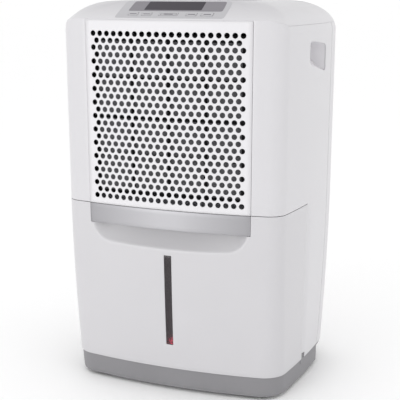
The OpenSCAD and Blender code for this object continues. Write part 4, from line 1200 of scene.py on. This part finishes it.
@dataclass
class Controls:
    """Overlay, display and keys on the sloping front of the cover."""

    body: str = "casing"
    middle: float = 3.0
    overlay_half: float = 85.0
    overlay_e: tuple[float, float] = (3.0, 48.0)
    bezel_x: tuple[float, float] = (-70.0, 77.0)
    bezel_e: tuple[float, float] = (21.0, 47.0)
    display_half: float = 45.0
    display_e: tuple[float, float] = (24.0, 46.5)
    key_e: tuple[float, float] = (9.5, 16.5)
    keys: tuple[tuple[str, float, float], ...] = (
        ("power", -57.5, 15.0), ("mode", -35.5, 15.0), ("box", -1.0, 28.0), ("fan", 34.5, 15.0),
        ("timer", 58.0, 17.0))
    gap: float = 0.5

    def patch(self, x0: float, x1: float, e0: float, e1: float, radius: float, lift: float,
              holes: tuple[tuple[float, float, float, float], ...] = ()) -> Skin:
        """Thin plate on the slope with round corners: near its ends each row is narrowed by
        radius - sqrt(radius^2 - (radius - d)^2) at distance d from the end.

        Args:
            x0: left side.
            x1: right side.
            e0: lower end, from the crease.
            e1: upper end.
            radius: corner radius.
            lift: height above the slope.
            holes: openings, each x0, x1, e0 and e1.

        Returns:
            The sheet.
        """
        ends = np.array([0.0, 0.07, 0.29, 0.62, 1.0]) * radius
        xs = sorted({x0, x1} | {h[k] for h in holes for k in (0, 1)})
        es = sorted({e0 + radius, e1 - radius} | {h[k] for h in holes for k in (2, 3)})
        x = np.unique(np.round(np.concatenate([lines(*xs, step=6.0), x0 + ends, x1 - ends]), 5))
        e = np.unique(np.round(np.concatenate([lines(*es, step=4.0), e0 + ends, e1 - ends]), 5))
        near = np.minimum(e - e0, e1 - e)
        reach = np.sqrt(np.clip(radius**2 - (radius - near) ** 2, 0, None))
        cut = np.where(near < radius, radius - reach, 0.0)
        gx, ge = np.meshgrid(x, e, indexing="ij")
        gx = np.clip(gx, x0 + cut[None, :], x1 - cut[None, :])
        keep = np.ones((len(x) - 1, len(e) - 1), bool)
        mx, me = (x[:-1] + x[1:])[:, None] / 2, (e[:-1] + e[1:])[None, :] / 2
        for h in holes:
            keep &= ~((mx > h[0]) & (mx < h[1]) & (me > h[2]) & (me < h[3]))
        return Skin.grid(FORM.slope(gx, ge, lift), keep)

    def build(self) -> None:
        """Overlay with key openings, display surround, display, key caps and their marks."""
        m, (e0, e1), g = self.middle, self.key_e, self.gap
        holes = tuple((m + x - w / 2 - g, m + x + w / 2 + g, e0 - g, e1 + g) for _, x, w in self.keys)
        h = self.overlay_half
        self.patch(m - h, m + h, *self.overlay_e, 4.0, 0.25, holes).object(
            "control_overlay_plate", PANEL_FILM, self.body, ("control_overlay",), "panel_film", 0.9, 0.15)
        self.patch(m + self.bezel_x[0], m + self.bezel_x[1], *self.bezel_e, 3.0, 0.4).object(
            "display_surround", PANEL_GREY, self.body, ("display_bezel",), "panel_grey", 0.6, 0.1)
        h = self.display_half
        self.patch(m - h, m + h, *self.display_e, 1.5, 0.55).object(
            "display_glass_plate", DISPLAY_DARK, self.body, ("display_window",), "display_dark", 0.6, 0.1)
        for name, x, w in self.keys:
            body = f"key_{name}"
            left, right = m + x - w / 2, m + x + w / 2
            self.patch(left, right, e0, e1, 1.6, 0.5).object(
                f"{body}_cap", PANEL_FILM, body, (body,), "panel_film", 2.4, 0.35, steps=3)
            if name == "box":
                self.outline(left + 1.4, right - 1.4, e0 + 1.2, e1 - 1.2).object(
                    f"{body}_mark", MARK_INK, body, (), "", 0.04)
            mid, half = (e0 + e1) / 2, (5.5 if name != "box" else 7.0)
            self.patch(m + x - half, m + x + half, mid - 0.75, mid + 0.75, 0.4, 0.54).object(
                f"{body}_dash", MARK_INK, body, (), "", 0.04)

    @staticmethod
    def outline(x0: float, x1: float, e0: float, e1: float) -> Skin:
        """Thin rounded frame on a key: the sheet between two rounded rectangles.

        Args:
            x0: left side.
            x1: right side.
            e0: lower end.
            e1: upper end.

        Returns:
            The sheet.
        """
        centre = ((x0 + x1) / 2, (e0 + e1) / 2)
        w, h = (x1 - x0) / 2, (e1 - e0) / 2
        rows = [rounded_loop(12, 7, w, h, 1.6) + centre,
                rounded_loop(12, 7, w - 0.55, h - 0.55, 1.1) + centre]
        return ring_rows(rows).through(lambda p: FORM.slope(p[:, 0], p[:, 1], 0.54))


# ---- CAD nodes that keep their shape ----


@dataclass
class Machinery:
    """Parts whose CAD shape is kept, each as a merged and smoothed copy in its own finish."""

    nodes: dict[str, tuple[Finish, str, float]] = field(default_factory=lambda: {
        "filter_frame": (FILTER_FRAME, "grille", 0.4), "filter_mesh": (FILTER_NET, "grille", 0.0),
        "bucket_tub": (TUB_PLASTIC, "bucket", 0.0), "bucket_lid": (LID_PLASTIC, "bucket", 0.0),
        "bucket_handle": (LID_PLASTIC, "bail", 0.0), "handle_pins": (LID_PLASTIC, "bucket", 0.2),
        "level_float": (RED_FLOAT, "level_float", 0.8), "shutoff_float": (FOAM_FLOAT, "shutoff_float", 0.0),
        "float_pin": (STEEL, "bucket", 0.2), "control_board": (CIRCUIT, "casing", 0.0),
        "exhaust_louvre": (COVER_SHELL, "casing", 0.0), "exhaust_duct": (DUCT_PLASTIC, "casing", 0.0),
        "deck": (SHEET_STEEL, "casing", 0.0), "drain_trough": (DARK_PLASTIC, "casing", 0.0),
        "drain_spout": (DARK_PLASTIC, "casing", 0.3), "drain_hose": (HOSE, "casing", 0.0),
        "evaporator_coil": (FIN_METAL, "casing", 0.0), "condenser_coil": (FIN_METAL, "casing", 0.0),
        "refrigerant_pipes": (COPPER, "casing", 0.0), "compressor": (BLACK_PAINT, "casing", 0.0),
        "compressor_mounts": (RUBBER, "casing", 0.3), "compressor_bolts": (STEEL, "casing", 0.2),
        "fan_scroll": (DUCT_PLASTIC, "casing", 0.0), "blower_wheel": (DARK_PLASTIC, "blower", 0.0),
        "blower_shaft": (STEEL, "blower", 0.3), "fan_motor": (STEEL, "casing", 0.4),
        "run_capacitor": (CAN_ALUMINIUM, "casing", 0.0), "bucket_switch": (DARK_PLASTIC, "casing", 0.0),
        "switch_lever": (LEVER_RED, "switch_lever", 0.0), "humidity_sensor": (LID_PLASTIC, "casing", 0.5),
        "cord_gland": (DARK_PLASTIC, "casing", 0.3), "casing_screws": (STEEL, "casing", 0.2),
        "caster_bushes": (STEEL, "casing", 0.2)})

    def build(self) -> None:
        """Makes every kept part."""
        kept = dict(self.nodes)
        slots = {part["node"]: part["material_slot"] for part in frame["record"]["subparts"]}
        for k in range(1, 5):
            kept[f"caster_fork_{k}"] = (DARK_PLASTIC, f"fork_{k}", 0.3)
            kept[f"caster_wheel_{k}"] = (RUBBER, f"wheel_{k}", 0.4)
        for node, (finish, body, edge) in kept.items():
            self.copy(node, finish, body, edge, slots[node])
        frame["nodes"]["base_tray"].data.materials.clear()
        frame["nodes"]["base_tray"].data.materials.append(BASE_GREY.material())

    @staticmethod
    def copy(node: str, finish: Finish, body: str, edge: float, slot: str) -> bpy.types.Object:
        """Merged copy of a CAD node.

        Args:
            node: CAD node name.
            finish: its finish.
            body: the body it rides on.
            edge: rounding of sharp edges in mm.
            slot: material slot of the record.

        Returns:
            The piece.
        """
        source = frame["nodes"][node].data
        co = np.empty(len(source.vertices) * 3)
        source.vertices.foreach_get("co", co)
        at = np.empty(len(source.loops), int)
        source.loops.foreach_get("vertex_index", at)
        tris = at.reshape(-1, 3)
        skin = Skin(co.reshape(-1, 3) / MM, np.column_stack([tris, tris[:, 2]]))
        return skin.object(f"{node}_part", finish, body, (node,), slot, 0.0, edge, 30.0)


# ---- Stage ----


@dataclass
class Studio:
    """Camera, floor and soft lights, in metres."""

    eye: tuple[float, float, float] = (0.5509, -1.4207, 0.6207)
    right: tuple[float, float, float] = (0.9318, 0.3631, 0.0)
    forward: tuple[float, float, float] = (-0.3514, 0.9018, -0.2512)
    lens: float = 85.06
    shift: float = 0.0828
    floor_half: float = 40.0
    sky: float = 1.03

    def build(self) -> None:
        """Makes the camera, the world, the floor and the area lights."""
        scene = bpy.context.scene
        scene.view_settings.view_transform = "Standard"
        data = bpy.data.cameras.new("camera")
        data.lens, data.sensor_width, data.shift_y = self.lens, 36.0, self.shift
        camera = bpy.data.objects.new("camera", data)
        right, forward = Vector(self.right).normalized(), Vector(self.forward).normalized()
        up = right.cross(forward)
        turn = Matrix((right, up, -forward)).transposed().to_4x4()
        camera.matrix_world = Matrix.Translation(self.eye) @ turn
        scene.collection.objects.link(camera)
        scene.camera = camera
        world = bpy.data.worlds.new("studio")
        world.use_nodes = True
        world.node_tree.nodes["Background"].inputs["Color"].default_value = (1, 1, 1, 1)
        world.node_tree.nodes["Background"].inputs["Strength"].default_value = self.sky
        scene.world = world
        h = self.floor_half
        mesh = bpy.data.meshes.new("floor")
        mesh.from_pydata([(-h, -h, 0), (h, -h, 0), (h, h, 0), (-h, h, 0)], [], [(0, 1, 2, 3)])
        mesh.materials.append(PALE_FLOOR.material())
        floor = bpy.data.objects.new("floor", mesh)
        scene.collection.objects.link(floor)
        self.light("key_light", (-1.1, -2.6, 0.75), 1.5, 14.0)
        self.light("side_light", (2.6, -0.3, 1.3), 1.8, 4.0)

    @staticmethod
    def light(name: str, place: tuple[float, float, float], size: float, power: float) -> None:
        """Square soft light aimed at the middle of the machine.

        Args:
            name: light name.
            place: its place in metres.
            size: side in metres.
            power: watts.
        """
        data = bpy.data.lights.new(name, "AREA")
        data.size, data.energy = size, power
        lamp = bpy.data.objects.new(name, data)
        lamp.location = place
        lamp.rotation_euler = (Vector((0, 0, 0.3)) - Vector(place)).to_track_quat("-Z", "Y").to_euler()
        bpy.context.scene.collection.objects.link(lamp)


def main() -> None:
    """Builds every piece and the stage."""
    logging.basicConfig(level=logging.INFO, format="%(message)s")
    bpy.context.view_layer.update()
    casing = Casing()
    casing.wing("cabinet_right", False)
    casing.wing("cabinet_left", True)
    casing.hand_recess("hand_recess_right", False)
    casing.hand_recess("hand_recess_left", True)
    casing.rear()
    casing.cover()
    casing.skirt()
    Grille().build()
    bucket = Bucket()
    bucket.fascia()
    bucket.trim()
    bucket.lens()
    Controls().build()
    Machinery().build()
    Studio().build()


if __name__ == "__main__":
    main()
